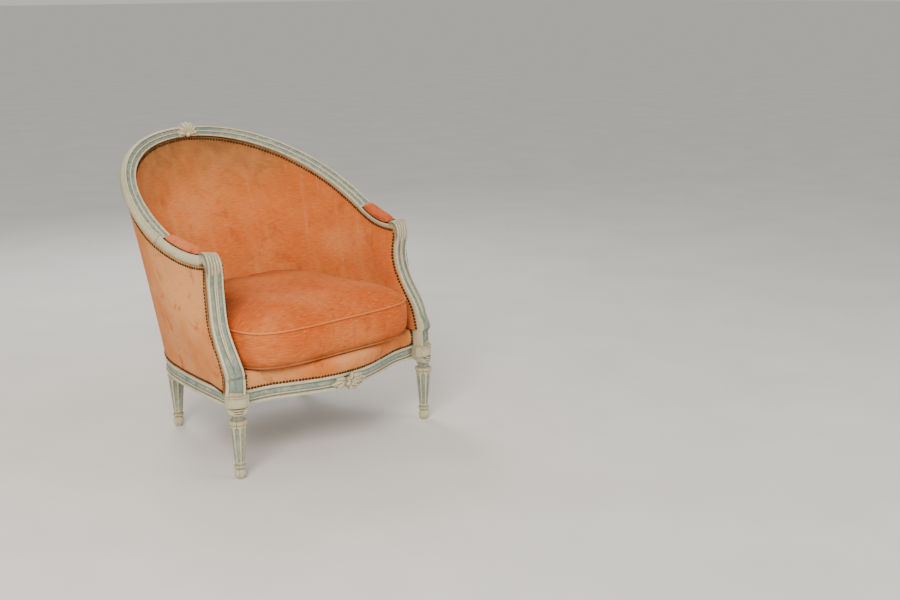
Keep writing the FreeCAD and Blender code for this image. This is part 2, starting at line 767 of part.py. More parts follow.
def seat_point(place, inset, height):
    frame = seat_frame(place)
    return frame["middle"] - frame["outward"] * inset + UP * height


def support_side(height, side, depth, proud):
    """Point beside the arm support at a height: on its outer side (1) or its inner side (-1)."""
    first, last = 0.0, 0.86
    for _ in range(24):
        middle = (first + last) / 2
        if SUPPORT.at(middle).z < height:
            first = middle
        else:
            last = middle
    frame = support_frame(first)
    back = Vector(frame["normal"].x, frame["normal"].y, 0).normalize()
    point = frame["middle"] + frame["across"] * (side * (frame["face"] / 2 + proud)) - back * depth
    return Vector(point.x, point.y, height)


def wall_point(place, share, low, high, side, depth, proud):
    """Ruled wall between a low and a high edge, led by the arm support at its front."""
    point = blend(low(place), high(place), share)
    behind = SUPPORT_THICKNESS + 2.0
    beside = clamp(place / SUPPORT_PASS)
    hold = 1 - share ** 6 * beside if share > 0 else 1.0
    if place <= SUPPORT_PASS:
        follow = hold
        ruled = point
    else:
        follow = lead(place - SUPPORT_PASS, share) * hold
        ruled = blend(low(SUPPORT_PASS), high(SUPPORT_PASS), share)
    if follow > 0:
        point = point + (support_side(ruled.z, side, blend(depth, behind, beside), proud) - ruled) * follow
    return point


def outer_wall(place, share, inset=0.0):
    """Face of the outside cloth, or a plane a little inside it."""
    def low(where):
        return seat_point(where, REBATE_DEPTH - CLOTH - SOFT_GAP, SEAT_RAIL_TOP + SOFT_GAP)
    point = wall_point(place, share, low, outer_top, 1, OUTER_NAIL_DEPTH, CLOTH + SIDE_GAP)
    return point - seat_frame(place)["outward"] * inset


def inner_wall(place, share, inset=0.0):
    """Face of the inside cloth, bowed inwards by its stuffing, or a plane behind it."""
    def low(where):
        return seat_point(where, SEAT_PADDING, DECK_HEIGHT + SOFT_GAP)
    point = wall_point(place, share, low, inner_top, -1, INNER_NAIL_DEPTH, CLOTH + SIDE_GAP)
    bulge = blend(ARM_BULGE, BACK_BULGE, clamp((place - 0.2) / 0.6)) * clamp(place / 0.1)
    bow = bulge * math.sin(math.pi * max(0.0, share) ** 0.8)
    return point + seat_frame(place)["outward"] * (inset - bow)


def middle_wall(place, share, inset=0.0):
    """Plane that the webbing is tacked to, on the inside of the frame zone."""
    def low(where):
        return seat_point(where, SEAT_RAIL_THICKNESS + SOFT_GAP, webbing_top() + SOFT_GAP)
    point = wall_point(place, share, low, middle_top, -1, SUPPORT_THICKNESS + 2, -12.0)
    return point - seat_frame(place)["outward"] * inset


def surface_through(rows):
    surface = Part.BSplineSurface()
    surface.interpolate(rows)
    return surface


def solid_between(outer_rows, inner_rows):
    """Solid between two grids of points of the same size, closed by ruled edges."""
    outer = surface_through(outer_rows)
    inner = surface_through(inner_rows)
    faces = [outer.toShape(), inner.toShape()]
    for end in (0, 1):
        faces.append(Part.makeRuledSurface(outer.uIso(outer.bounds()[end]).toShape(),
                                           inner.uIso(inner.bounds()[end]).toShape()))
        faces.append(Part.makeRuledSurface(outer.vIso(outer.bounds()[2 + end]).toShape(),
                                           inner.vIso(inner.bounds()[2 + end]).toShape()))
    shell = Part.makeShell(faces)
    shell.sewShape()
    solid = Part.Solid(shell)
    if solid.Volume < 0:
        solid.reverse()
    return solid


def wall_solid(outer, inner, first, last, rows=7, low=(0.0, 0.0), high=(1.0, 1.0), whole=False):
    """Solid between two walls over a stretch of places.

    Each wall is a function of place and height share; low and high give the share range of the
    outer and of the inner wall. A whole wall runs on over the middle to the other side.
    """
    sections = []
    inside_places = [step * WALL_STEP for step in range(1, round(1 / WALL_STEP) + 1)]
    places = [place for place in inside_places if first + 0.008 < place < last - 0.008]
    for place in [first] + places + [last]:
        top = [end(place) if callable(end) else end for end in high]
        outside = [outer(place, share) for share in shares(low[0], top[0], rows)]
        inside = [inner(place, share) for share in shares(low[1], top[1], rows)]
        sections.append((outside, inside))
    if whole:
        other = [([flipped(p) for p in a], [flipped(p) for p in b]) for a, b in sections[:-1]]
        sections = other + sections[::-1]
    return solid_between([section[0] for section in sections], [section[1] for section in sections])


def wall_at_height(wall, place, height, inset):
    """Point of a wall at a place and a height."""
    low, high = -0.2, 1.3
    for _ in range(24):
        middle = (low + high) / 2
        if wall(place, middle, inset).z < height:
            low = middle
        else:
            high = middle
    point = wall(place, low, inset)
    return Vector(point.x, point.y, height)


def rear_post():
    """Raked post in the frame zone, from the leg's block up to the top rail."""
    wires = []
    place = REAR_LEG_PLACE
    half = SEAT.heading(place) * (POST_WIDTH / 2)
    foot = TACKING_TOP - 1
    ends = (seat_point(place, 6.0, foot), seat_point(place, SEAT_RAIL_THICKNESS - 1, foot))
    wires.append(Part.Wire(chain([ends[0] - half, ends[0] + half, ends[1] + half, ends[1] - half])))
    top = TOP_RAIL.at(place).z
    for height in shares(TACKING_TOP + 12, top, 5):
        outside = wall_at_height(outer_wall, place, height, CLOTH + 1.5)
        inside = wall_at_height(middle_wall, place, height, -1.0)
        wires.append(Part.Wire(chain([outside - half, outside + half, inside + half, inside - half])))
    return loft(wires, ruled=True)


def tack_rail(first, last, whole=False):
    """Narrow rail between posts, just above the seat, that the wall cloths are tacked to."""
    def outer(place, share):
        return outer_wall(place, share, CLOTH + TACK_GAP)

    def inner(place, share):
        return middle_wall(place, share, -SOFT_GAP)
    band = (TACK_RAIL_LOW, TACK_RAIL_LOW)
    return wall_solid(outer, inner, first, last, 3, band, (TACK_RAIL_HIGH, TACK_RAIL_HIGH), whole)


def side_tack_rail():
    rail = tack_rail(SUPPORT_PASS - 0.02, REAR_LEG_PLACE)
    return largest(rail.cut(PIECES["arm_support_right"]).cut(rear_post()))


def back_tack_rail():
    post = rear_post()
    rail = tack_rail(REAR_LEG_PLACE, 1.0, whole=True)
    return largest(rail.cut(post).cut(other_side(post)))


def wall_strap(middle):
    half = WEBBING_WIDTH / 2 / SEAT.length

    def inner(place, share):
        return middle_wall(place, share, WEBBING)
    whole = middle >= 1
    last = 1.0 if whole else middle + half
    return wall_solid(middle_wall, inner, middle - half, last, whole=whole)


def back_webbing():
    """Upright straps tacked to the seat frame and the top rail."""
    straps = [wall_strap(1.0)]
    for step in range(1, BACK_STRAPS + 1):
        strap = wall_strap(1.0 - STRAP_PITCH * step / SEAT.length)
        straps += [strap, other_side(strap)]
    return Part.makeCompound(straps)


def back_hessian():
    def outer(place, share):
        return middle_wall(place, share, WEBBING + SOFT_GAP)

    def inner(place, share):
        return middle_wall(place, share, WEBBING + SOFT_GAP + HESSIAN)
    return wall_solid(outer, inner, STUFFING_START, 1.0, whole=True)


def stuffing(first, last, whole=False):
    """Horsehair between the hessian and the inside cloth, from the deck up to the top rail."""
    def outer(place, share):
        return middle_wall(place, share, WEBBING + HESSIAN + SOFT_GAP + STUFFING_GAP)

    def inner(place, share):
        return inner_wall(place, share, CLOTH + STUFFING_GAP)

    def top(place):
        return blend(0.90, 0.985, rail_frame(place)["rise"])
    return wall_solid(outer, inner, first, last, 7, (0.07, 0.005), (0.985, top), whole)


def inside_cover():
    """Velvet of the inside arms and back, in one sweep from support to support."""
    def behind(place, share):
        return inner_wall(place, share, CLOTH)
    cover = wall_solid(behind, inner_wall, 0.0, 1.0, whole=True)
    for side in ("right", "left"):
        cover = cover.cut(PIECES["arm_support_" + side])
    return largest(cover)


def outside_cover(first, last, whole=False):
    def behind(place, share):
        return outer_wall(place, share, CLOTH)
    return wall_solid(outer_wall, behind, first, last, whole=whole)


# Seat deck

def front_edge(inset, half_width, height, count=21):
    """Points along the front rail's face, set back by the inset, from left to right."""
    points = []
    for step in shares(-1.0, 1.0, count):
        x = step * half_width
        point = FRONT_RAIL.at(place_at_x(x))
        along = FRONT_RAIL.heading(place_at_x(x))
        points.append(point + Vector(-along.y, along.x, 0) * inset + UP * height)
    return points


def place_at_x(x):
    """Place on the front rail whose face has this X."""
    low, high = 0.0, 1.0
    for _ in range(30):
        middle = (low + high) / 2
        if FRONT_RAIL.at(middle).x < x:
            low = middle
        else:
            high = middle
    return low


def deck_outline(front_inset, side_inset, height):
    """Level ring: the serpentine front, then one sweep round the sides and back."""
    front = front_edge(front_inset, DECK_HALF_WIDTH - side_inset, height)
    back = [seat_point(place, SEAT_PADDING - 3.0 + side_inset, height) for place in shares(0.16, 1.0, 9)]
    ring = [front[-1]] + back + [flipped(point) for point in back[-2::-1]] + [front[0]]
    return Part.Wire([curve_through(front).toShape(), curve_through(ring).toShape()])


def deck_body(inset, low):
    """Flat deck with a soft front edge that stands over the front rail."""
    top = DECK_HEIGHT - inset
    steps = [(low, -FRONT_BULGE, 0.0), (blend(low, top, 0.5), -FRONT_BULGE * 0.6, 0.0),
             (blend(low, top, 0.85), 3.0, 1.5), (top, 14.0, 7.0)]
    return loft([deck_outline(front + inset, side + inset, height) for height, front, side in steps])


def seat_cover():
    """Velvet over the top of the deck."""
    low = webbing_top() + HESSIAN + SOFT_GAP
    return deck_body(0.0, low).cut(deck_body(CLOTH, low - 1))


def seat_band():
    """Velvet band from the deck's front edge down to the nails on the front rail."""
    high = webbing_top() + HESSIAN
    bottom = SEAT_RAIL_TOP + SOFT_GAP
    face = REBATE_DEPTH - CLOTH - 2 * SOFT_GAP
    outer = [front_edge(face, DECK_HALF_WIDTH, bottom), front_edge(-FRONT_BULGE, DECK_HALF_WIDTH, high)]
    inner = [front_edge(face + CLOTH, DECK_HALF_WIDTH, bottom),
             front_edge(CLOTH - FRONT_BULGE, DECK_HALF_WIDTH, high)]
    for rows in (outer, inner):
        rows.insert(1, [blend(low, top, 0.5) for low, top in zip(rows[0], rows[1])])
    return solid_between(outer, inner)


def webbing_top():
    return TACKING_TOP + 2 * WEBBING + 2 * SOFT_GAP


def seat_area(inset, low, high):
    """Upright prism inside the seat outline."""
    ring = deck_outline(inset, inset - SEAT_PADDING + 3.0, low)
    return Part.Face(ring).extrude(UP * (high - low))


def seat_webbing(lengthwise):
    """Straps across the seat, tacked on top of the rails; the second layer lies on the first."""
    low = TACKING_TOP + (WEBBING + SOFT_GAP if lengthwise else 0.0)
    area = seat_area(SEAT_RAIL_THICKNESS * 0.4, low, low + WEBBING)
    straps = []
    for step in range(SEAT_STRAPS):
        offset = STRAP_PITCH * (step - (SEAT_STRAPS - 1) / 2)
        if lengthwise:
            strap = Part.makeBox(WEBBING_WIDTH, 700, WEBBING, Vector(offset - WEBBING_WIDTH / 2, -100, low))
        else:
            middle = offset + CUSHION_MIDDLE + 20
            strap = Part.makeBox(800, WEBBING_WIDTH, WEBBING, Vector(-400, middle - WEBBING_WIDTH / 2, low))
        straps.append(largest(strap.common(area)))
    return Part.makeCompound(straps)


def seat_hessian():
    low = webbing_top()
    return seat_area(SEAT_PADDING + 2, low, low + HESSIAN)


def seat_stuffing():
    return deck_body(CLOTH + SOFT_GAP, webbing_top() + HESSIAN + SOFT_GAP)


# Corner blocks and their screws

def corner_outline(front):
    """Plan of a corner block: it follows the inside faces of its rails and is straight inwards."""
    inner = SEAT_RAIL_THICKNESS + 3 * JOINERY_CLEARANCE
    step = BLOCK_LEG_LENGTH / SEAT.length
    if front:
        first = [front_edge(inner, x, 0.0, 3)[-1] for x in shares(FRONT_LEG_X - 100, FRONT_LEG_X - 40, 4)]
        last = [seat_point(place, inner, 0.0) for place in shares(0.045, 0.045 + step, 4)]
        return first + last
    ends = (REAR_LEG_PLACE + step, REAR_LEG_PLACE - step)
    points = [seat_point(place, inner, 0.0) for place in shares(ends[0], ends[1], 9)]
    inward = seat_frame(REAR_LEG_PLACE)["outward"] * -CORNER_BLOCK_DEPTH
    return points + [points[-1] + inward, points[0] + inward]


def corner_block(front):
    """Glued and screwed block inside the corner of the seat frame."""
    outline = corner_outline(front)
    block = Part.Face(Part.Wire(chain(outline))).extrude(UP * CORNER_BLOCK_HEIGHT)
    block.translate(UP * CORNER_BLOCK_LOW)
    return block.cut(Part.makeCompound(corner_screws(front, JOINERY_CLEARANCE)))


def corner_screws(front, clearance=0.0):
    """Two screws through a corner block, square to the rails they hold."""
    screws = []
    outline = corner_outline(front)
    height = UP * (CORNER_BLOCK_LOW + CORNER_BLOCK_HEIGHT / 2)
    places = (0.045 + 0.6 * BLOCK_LEG_LENGTH / SEAT.length,) if front else \
        (REAR_LEG_PLACE - 0.055, REAR_LEG_PLACE + 0.055)
    for place in places:
        way = seat_frame(place)["outward"]
        tip = seat_point(place, SEAT_RAIL_THICKNESS * 0.45, 0.0) + height
        screws.append((tip, way))
    if front:
        x = FRONT_LEG_X - 85
        tip = front_edge(SEAT_RAIL_THICKNESS * 0.45, x, 0.0, 3)[-1] + height
        screws.append((tip, tip - front_edge(SEAT_RAIL_THICKNESS, x, 0.0, 3)[-1] - height))
    solids = []
    for tip, way in screws:
        way = unit(way)
        head = tip - way * SCREW_LENGTH
        solids.append(rod(head, tip + way * clearance, SCREW_RADIUS + clearance))
        solids.append(rod(head - way * SCREW_HEAD_HEIGHT, head, SCREW_HEAD_RADIUS))
        solids[-2:] = [solids[-2].fuse(solids[-1])]
    return solids


# Loose cushion

def power(value, exponent):
    return math.copysign(abs(value) ** exponent, value)


def cushion_ring(inset, height, lean=0.0):
    """Level outline of the cushion: squarish front corners, rounder back, drawn-in sides."""
    points = []
    for step in range(CUSHION_POINTS):
        angle = 2 * math.pi * step / CUSHION_POINTS
        ahead = math.sin(angle) < 0
        square = 2 / (CUSHION_FRONT_SQUARENESS if ahead else CUSHION_BACK_SQUARENESS)
        reach = CUSHION_FRONT_REACH if ahead else CUSHION_BACK_REACH + lean
        x = (CUSHION_HALF_WIDTH - inset) * power(math.cos(angle), square)
        y = CUSHION_MIDDLE + (reach - inset) * power(math.sin(angle), square)
        drawn = CUSHION_WAIST * (1 - abs(math.sin(angle))) ** 2
        points.append((x - math.copysign(drawn, x), y, height))
    return points


def cushion_body(inset):
    """Boxed cushion with a flat base, swollen sides and a high crown."""
    low = DECK_HEIGHT + SOFT_GAP
    seam_low = low + 7.0
    seam_high = seam_low + CUSHION_BOXING
    lean = CUSHION_LEAN_BACK
    steps = [(low, 30, 0), (seam_low - 4, 5, 0), (seam_low, 0, 0),
             (blend(seam_low, seam_high, 0.5), -3, lean / 2), (seam_high, 0, lean),
             (seam_high + 5, 6, lean)]
    for share in (0.22, 0.38, 0.52, 0.64, 0.74, 0.82, 0.89, 0.94, 0.975):
        steps.append((seam_high + CUSHION_CROWN * share, CUSHION_HALF_WIDTH * (1 - math.sqrt(1 - share ** 1.6)),
                      lean))
    wires = []
    for height, ring_inset, leaning in steps:
        middle = blend(low, seam_high, 0.6)
        squeezed = height - math.copysign(inset, height - middle) if abs(height - middle) > 60 else height
        ring = cushion_ring(ring_inset + inset, squeezed, leaning)
        wires.append(Part.Wire([curve_through(ring, True).toShape()]))
    return loft(wires, ruled=True)


def piping(height_share):
    """Round cord sewn into a seam, all the way round."""
    low = DECK_HEIGHT + SOFT_GAP + 7.0
    height = low + CUSHION_BOXING * height_share
    ring = cushion_ring(-PIPING_RADIUS * PIPING_PROUD, height, CUSHION_LEAN_BACK * height_share)
    path = Part.Wire([curve_through(ring, True).toShape()])
    start = path.Edges[0].Curve.value(path.Edges[0].FirstParameter)
    way = path.Edges[0].Curve.tangent(path.Edges[0].FirstParameter)[0]
    circle = Part.Wire([Part.Circle(start, way, PIPING_RADIUS).toShape()])
    return path.makePipeShell([circle], True, False)


PIECES = {}


def add(name, shape):
    PIECES[name] = shape


def add_pair(name, shape):
    add(name + "_right", shape)
    add(name + "_left", other_side(shape))


def make_frame():
    add_pair("front_leg", front_leg_right())
    add_pair("rear_leg", rear_leg_right())
    add("front_rail", front_rail())
    add_pair("side_rail", side_rail_right())
    add("back_rail", back_rail())
    add_pair("arm_support", arm_support_right())
    add_pair("arm_rail", arm_rail_right())
    add("crest_rail", crest_rail())
    dowels = [crest_dowel(-1), crest_dowel(1)]
    add("crest_dowels", Part.makeCompound(dowels + [other_side(dowel) for dowel in dowels]))
    dowels = [knuckle_dowel(), base_dowel()]
    add("arm_dowels", Part.makeCompound(dowels + [other_side(dowel) for dowel in dowels]))
    add_pair("corner_block_front", corner_block(True))
    add_pair("corner_block_rear", corner_block(False))
    screws = corner_screws(True) + corner_screws(False)
    add("corner_screws", Part.makeCompound(screws + [other_side(screw) for screw in screws]))
    add("tack_rail_back", back_tack_rail())
    add_pair("tack_rail_side", side_tack_rail())


def make_upholstery():
    add("seat_webbing_cross", seat_webbing(False))
    add("seat_webbing_long", seat_webbing(True))
    add("seat_hessian", seat_hessian())
    add("seat_stuffing", seat_stuffing())
    add("seat_cover", seat_cover())
    add("seat_band", seat_band())
    add("back_webbing", back_webbing())
    add("back_hessian", back_hessian())
    add_pair("stuffing_arm", stuffing(STUFFING_START, STUFFING_SPLIT))
    add("stuffing_back", stuffing(STUFFING_SPLIT + 0.001, 1.0, whole=True))
    add("inside_cover", inside_cover())
    side = outside_cover(0.0, REAR_LEG_PLACE - 0.001)
    add_pair("outside_cover_side", largest(side.cut(PIECES["arm_support_right"])))
    add("outside_cover_back", outside_cover(REAR_LEG_PLACE + 0.001, 1.0, whole=True))
    pad = arm_pad(0.0)
    filling = arm_pad(CLOTH)
    add_pair("arm_pad_cover", pad.cut(filling))
    add_pair("arm_pad_stuffing", arm_pad(CLOTH + SOFT_GAP))


def make_cushion():
    cords = [piping(0.0), piping(1.0)]
    cover = cushion_body(0.0)
    for cord in cords:
        cover = cover.cut(cord)
    add("cushion_cover", cover.cut(cushion_body(CLOTH)))
    add("cushion_filling", cushion_body(CLOTH + SOFT_GAP))
    add("cushion_piping_low", cords[0])
    add("cushion_piping_high", cords[1])


def set_on_origin():
    """Move the whole chair so that its origin is the middle of the bottom of its box."""
    box = Part.makeCompound(list(PIECES.values())).BoundBox
    shift = Vector(-box.Center.x, -box.Center.y, -box.ZMin)
    for shape in PIECES.values():
        shape.translate(shift)
    print("moved", [round(v, 4) for v in shift])


def main():
    make_frame()
    make_upholstery()
    make_cushion()
    set_on_origin()
    os.makedirs("parts", exist_ok=True)
    for name, shape in PIECES.items():
        shape.exportStep("parts/" + name + ".step")
        box = shape.BoundBox
        print(name, len(shape.Solids), round(shape.Volume), shape.isValid(),
              [round(v) for v in (box.XMin, box.YMin, box.ZMin, box.XMax, box.YMax, box.ZMax)])


main()
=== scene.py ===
"""Tub-back armchair in worn painted beech and orange velvet, as a studio photograph shows it.

Lengths in the making of a shape are millimetres, with the front legs on Y = 0, as in the part's own
source; placed() turns them into metres in the part's frame. Nearly every piece is a grid of points
closed into a skin, with point attributes that its material reads:
    paint   0 on the cream mouldings, 1 on the blue grounds
    grime   0 on open surfaces, 1 where dirt and old wax gather, and on the velvet also where shade is painted
    wear    1 on the crests that hands and feet rub
    lay     metres along and up the cloth, for the marks in its pile
"""
import bmesh
import bpy
import math
import numpy as np
from mathutils import Matrix


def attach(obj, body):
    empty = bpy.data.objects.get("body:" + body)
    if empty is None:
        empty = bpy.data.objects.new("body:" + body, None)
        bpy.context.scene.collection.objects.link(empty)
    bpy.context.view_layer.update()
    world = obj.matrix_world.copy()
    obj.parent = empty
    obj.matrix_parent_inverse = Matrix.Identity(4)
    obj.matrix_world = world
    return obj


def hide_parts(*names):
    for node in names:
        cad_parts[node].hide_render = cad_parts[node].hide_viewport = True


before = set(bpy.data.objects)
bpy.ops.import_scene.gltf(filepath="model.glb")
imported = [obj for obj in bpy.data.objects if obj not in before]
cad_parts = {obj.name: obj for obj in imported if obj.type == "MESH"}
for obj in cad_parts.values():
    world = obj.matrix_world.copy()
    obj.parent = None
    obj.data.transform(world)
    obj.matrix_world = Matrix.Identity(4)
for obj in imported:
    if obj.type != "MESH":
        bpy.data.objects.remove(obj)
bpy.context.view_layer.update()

SHIFT = np.array([0.0, -326.6366, 0.0])     # from the front legs to the part's origin
BODY, CUSHION_BODY = "frame", "seat_cushion"
UP = np.array([0.0, 0.0, 1.0])

# Top rail; places along it are shares of its right half, from the arm's front at 0 to the crest at 1
CREST_REACH, SHELL_FOOT = 711.0, 853.0
ARM_HALF_SPAN, ARM_WIDEST_REACH, ARM_HEIGHT, CREST_HEIGHT = 364.0, 315.0, 651.0, 861.0
RAIL_POWER = 2 / 2.12
RAIL_THICKNESS, RAIL_FACE_ARM, RAIL_FACE_CREST = 26.0, 48.0, 29.0
RAIL_LEAN_ARM, RAIL_LEAN_CREST, LEVEL_SHARE = 10.0, 90.0, 0.25
CREST_JOINT, JOINT_GAP = 0.60, 0.0003
BACK_CORNER = 3.5

# Arm pads and supports
PAD_FRONT, PAD_REAR, PAD_WIDTH, PAD_CROWN, PAD_FULLER = 0.025, 0.185, 36.5, 19.0, 4.5
PAD_SINK = 2.4
SUPPORT_THICKNESS, SUPPORT_FACE_FOOT, SUPPORT_FACE_TOP = 30.0, 54.0, 46.5
SUPPORT_WAIST, SUPPORT_TURN, SUPPORT_TOP_CANT = 0.45, 0.75, 8.0
SHOULDER_PROUD = 8.5

# Legs and seat rails
FRONT_LEG_X, FRONT_LEG_CANT = 343.5, math.radians(25.0)
CANT_ACROSS = np.array([math.cos(FRONT_LEG_CANT), math.sin(FRONT_LEG_CANT), 0.0])
CANT_OUTWARD = np.array([math.sin(FRONT_LEG_CANT), -math.cos(FRONT_LEG_CANT), 0.0])
REAR_LEG_PLACE, REAR_BLOCK_HALF, REAR_LEG_INSET = 0.672, 0.035, 20.0
POST_WIDTH, POST_DEPTH, POST_INSET = 30.0, 22.0, 5.0
BALL_TOP, FLUTES, FLUTE_LOW, FLUTE_HIGH, FLUTE_END = 29.0, 8, 49.0, 149.0, 5.0
SEAT_LOW, SEAT_TOP, TACKING_TOP, SEAT_THICKNESS, REBATE = 197.0, 239.0, 261.0, 30.0, 4.0
FRONT_REACH, FRONT_HOLLOW, FRONT_HALF, FRONT_SWELL = 59.0, 10.0, 292.0, 1.12

# Upholstery
CLOTH, GAP, SIDE_GAP = 2.2, 0.3, 2.8
SEAT_MIDDLE = np.array([0.0, 230.0, 0.0])
DECK_HEIGHT, DECK_HALF_WIDTH, SEAT_PADDING = 289.0, 306.5, 41.0
FRONT_OVERRUN, SUPPORT_PASS = 25.0, 0.045
LEAD_LOW, LEAD_HIGH = 0.06, 0.40
NAIL_PITCH, NAIL_RADIUS, NAIL_DOME, NAIL_STRAY = 9.4, 4.2, 0.62, 0.25
PAD_NAIL_PITCH, PAD_NAIL_RADIUS = 8.6, 3.6
PLEAT = 9.8
STRAPS, STRAP_PITCH, STRAP_HALF, STRAP_MIDDLE, STRAP_LEVEL, STRAP_THICKNESS = 5, 78.0, 26.0, 235.0, 263.3, 1.4

# Loose cushion
CUSHION_LOW, CUSHION_BOXING, CUSHION_CROWN, CUSHION_LEAN = 289.3, 98.0, 56.0, 20.0
CUSHION_HALF, CUSHION_MIDDLE, CUSHION_AHEAD, CUSHION_BEHIND = 287.0, 215.0, 258.0, 281.0
FRONT_CORNER, REAR_CORNER, CORNER_SPREAD = 2 / 4.6, 2 / 2.75, 17.0
SEAM_LOW = CUSHION_LOW + 7.0
SEAM_HIGH = SEAM_LOW + CUSHION_BOXING
CORD_RADIUS = 2.7


# Numbers and curves

def clamp(value):
    return np.clip(value, 0.0, 1.0)


def blend(start, end, share):
    return start + (end - start) * share


def mixed(start, end, share):
    """Blend of two arrays of points by an array of shares."""
    return start + (end - start) * np.asarray(share)[..., None]


def smooth(low, high, value):
    """0 below low, 1 above high, and a smooth rise between."""
    share = clamp((np.asarray(value, float) - low) / (high - low))
    return share * share * (3 - 2 * share)


def unit(vector):
    return vector / np.linalg.norm(vector, axis=-1, keepdims=True)


def dot(a, b):
    return np.sum(a * b, axis=-1, keepdims=True)


def travelled(points):
    """Distance along a row of points, up to each of them."""
    return np.concatenate([[0], np.cumsum(np.linalg.norm(np.diff(points, axis=0), axis=1))])


def level_normal(along):
    """Level direction to the right of a heading."""
    return unit(np.stack([along[..., 1], -along[..., 0], np.zeros(along.shape[:-1])], -1))


def power(value, exponent):
    """Power of a number's size, with its sign kept."""
    return np.sign(value) * np.abs(value) ** exponent


def end_slope(knots, points):
    """Slope at the first of four points of the cubic that passes through them."""
    steps = knots[:4] - knots[0]
    return np.linalg.solve(np.vander(steps, 4, increasing=True), points[:4])[1]


def spline_slopes(knots, points):
    """Slopes that make the piecewise cubic through the points bend evenly at each of them."""
    count = len(points)
    gaps = np.diff(knots)
    matrix = np.eye(count)
    right = np.zeros_like(points)
    right[0] = end_slope(knots, points)
    right[-1] = end_slope(knots[::-1], points[::-1])
    for i in range(1, count - 1):
        before, after = 1 / gaps[i - 1], 1 / gaps[i]
        matrix[i, i - 1:i + 2] = before, 2 * (before + after), after
        right[i] = 3 * ((points[i] - points[i - 1]) * before ** 2 + (points[i + 1] - points[i]) * after ** 2)
    return np.linalg.solve(matrix, right)


class Line:
    """Smooth curve through points: a cubic between each two, read by its share of length.

    A symmetric line is given by its right half and reads from 0 at the front to 1 at its middle and
    2 at the other front. A closed line reads once round from 0 to 1.
    """

    def __init__(self, points, symmetric=False, closed=False, table=3000):
        points = np.array(points, float)
        if symmetric:
            points = np.vstack([points, points[-2::-1] * (-1, 1, 1)])
        if closed:
            points = np.vstack([points, points, points, points[:1]])
        knots = travelled(points)
        slopes = spline_slopes(knots, points)
        fine = np.linspace(0, knots[-1], table)
        piece = np.clip(np.searchsorted(knots, fine, side="right") - 1, 0, len(knots) - 2)
        span = np.diff(knots)[piece]
        t = ((fine - knots[piece]) / span)[:, None]
        start, end = points[piece], points[piece + 1]
        leave, arrive = slopes[piece] * span[:, None], slopes[piece + 1] * span[:, None]
        self.places = (start * (1 + 2 * t) * (1 - t) ** 2 + leave * t * (1 - t) ** 2
                       + end * t * t * (3 - 2 * t) + arrive * t * t * (t - 1))
        way = travelled(self.places)
        self.length = way[-1] / (2 if symmetric else 3 if closed else 1)
        self.shares = way / self.length - (1 if closed else 0)
        self.headings = unit(np.gradient(self.places, way, axis=0))

    def read(self, table, share):
        share = np.asarray(share, float)
        return np.stack([np.interp(share, self.shares, table[:, k]) for k in range(3)], -1)

    def heading(self, share):
        return unit(self.read(self.headings, share))

    def at(self, share):
        """Point at a share; before the start the line runs on straight."""
        share = np.asarray(share, float)
        before = np.minimum(share - self.shares[0], 0)[..., None] * self.length
        return self.read(self.places, share) + self.headings[0] * before


def top_rail_line():
    """Right half of the top rail: the arm's front, its bend, then a quarter superellipse."""
    angle = np.radians(15.0 * np.arange(7))
    forward = np.sin(angle) ** RAIL_POWER
    sideways = ARM_HALF_SPAN * np.abs(np.cos(angle)) ** RAIL_POWER
    sideways[-1] = 0.0
    arc = np.stack([sideways, ARM_WIDEST_REACH + (CREST_REACH - ARM_WIDEST_REACH) * forward,
                    ARM_HEIGHT + (CREST_HEIGHT - ARM_HEIGHT) * forward], -1)
    return Line(np.vstack([[(340.0, 117.0, 600.0), (354.0, 216.0, 611.0)], arc]), symmetric=True)


def front_rail_line():
    """The serpentine face of the front rail, from left to right."""
    share = np.abs(np.arange(-6, 7)) / 6.0
    wave = (1 - np.cos(np.pi * share ** FRONT_SWELL)) / 2
    x = FRONT_HALF * np.arange(-6, 7) / 6.0
    y = -FRONT_REACH + (FRONT_REACH + FRONT_HOLLOW) * wave
    middle = np.stack([x, y, 0 * x], -1)
    ends = [middle[0] + (-24, 6, 0), middle[-1] + (24, 6, 0)]
    return Line(np.vstack([ends[:1], middle, ends[1:]]))


TOP_RAIL = top_rail_line()
FRONT_RAIL = front_rail_line()
SEAT = Line([(357, 22, 0), (350.5, 82, 0), (344.5, 160, 0), (333, 265, 0), (302, 408, 0), (234, 508, 0),
             (122, 539, 0), (0, 545, 0)], symmetric=True)


def rail_rise(place):
    """0 along the level arm, then 1 at the crest, in a straight rise with the place."""
    return clamp((place - LEVEL_SHARE) / (1 - LEVEL_SHARE))


def rail_frame(place):
    """Where the top rail's face lies, how wide it is and which way it looks; from 0 to 1."""
    place = np.asarray(place, float)
    along = TOP_RAIL.heading(place)
    outward = level_normal(along)
    rise = rail_rise(place)
    lean = np.radians(blend(RAIL_LEAN_ARM, RAIL_LEAN_CREST, rise))[..., None]
    across = outward * np.cos(lean) + UP * np.sin(lean)
    across = unit(across - along * dot(across, along))
    return {"middle": TOP_RAIL.at(place), "along": along, "across": across,
            "normal": unit(np.cross(across, along)), "rise": rise,
            "face": blend(RAIL_FACE_ARM, RAIL_FACE_CREST, rise)}


def on_frame(found, sideways, height):
    """Points at shares of the face's width from its middle, and heights out of the face."""
    sideways, height = np.asarray(sideways, float), np.asarray(height, float)
    reach = (sideways * found["face"])[..., None]
    return found["middle"] + found["across"] * reach + found["normal"] * height[..., None]


def support_line():
    """Middle of the arm support's face, from the block up to the front of the arm rail."""
    start = rail_frame(0.0)
    end = start["middle"] + start["normal"] * 9.0
    return Line([(349.5, -3.5, 239), (347, -2.5, 285), (351.5, 19, 352), (345.5, 58.5, 416),
                 (336.5, 81, 480), (335.5, 85, 532), (338.5, 79.5, 578), (339.3, 90.5, 605), end])


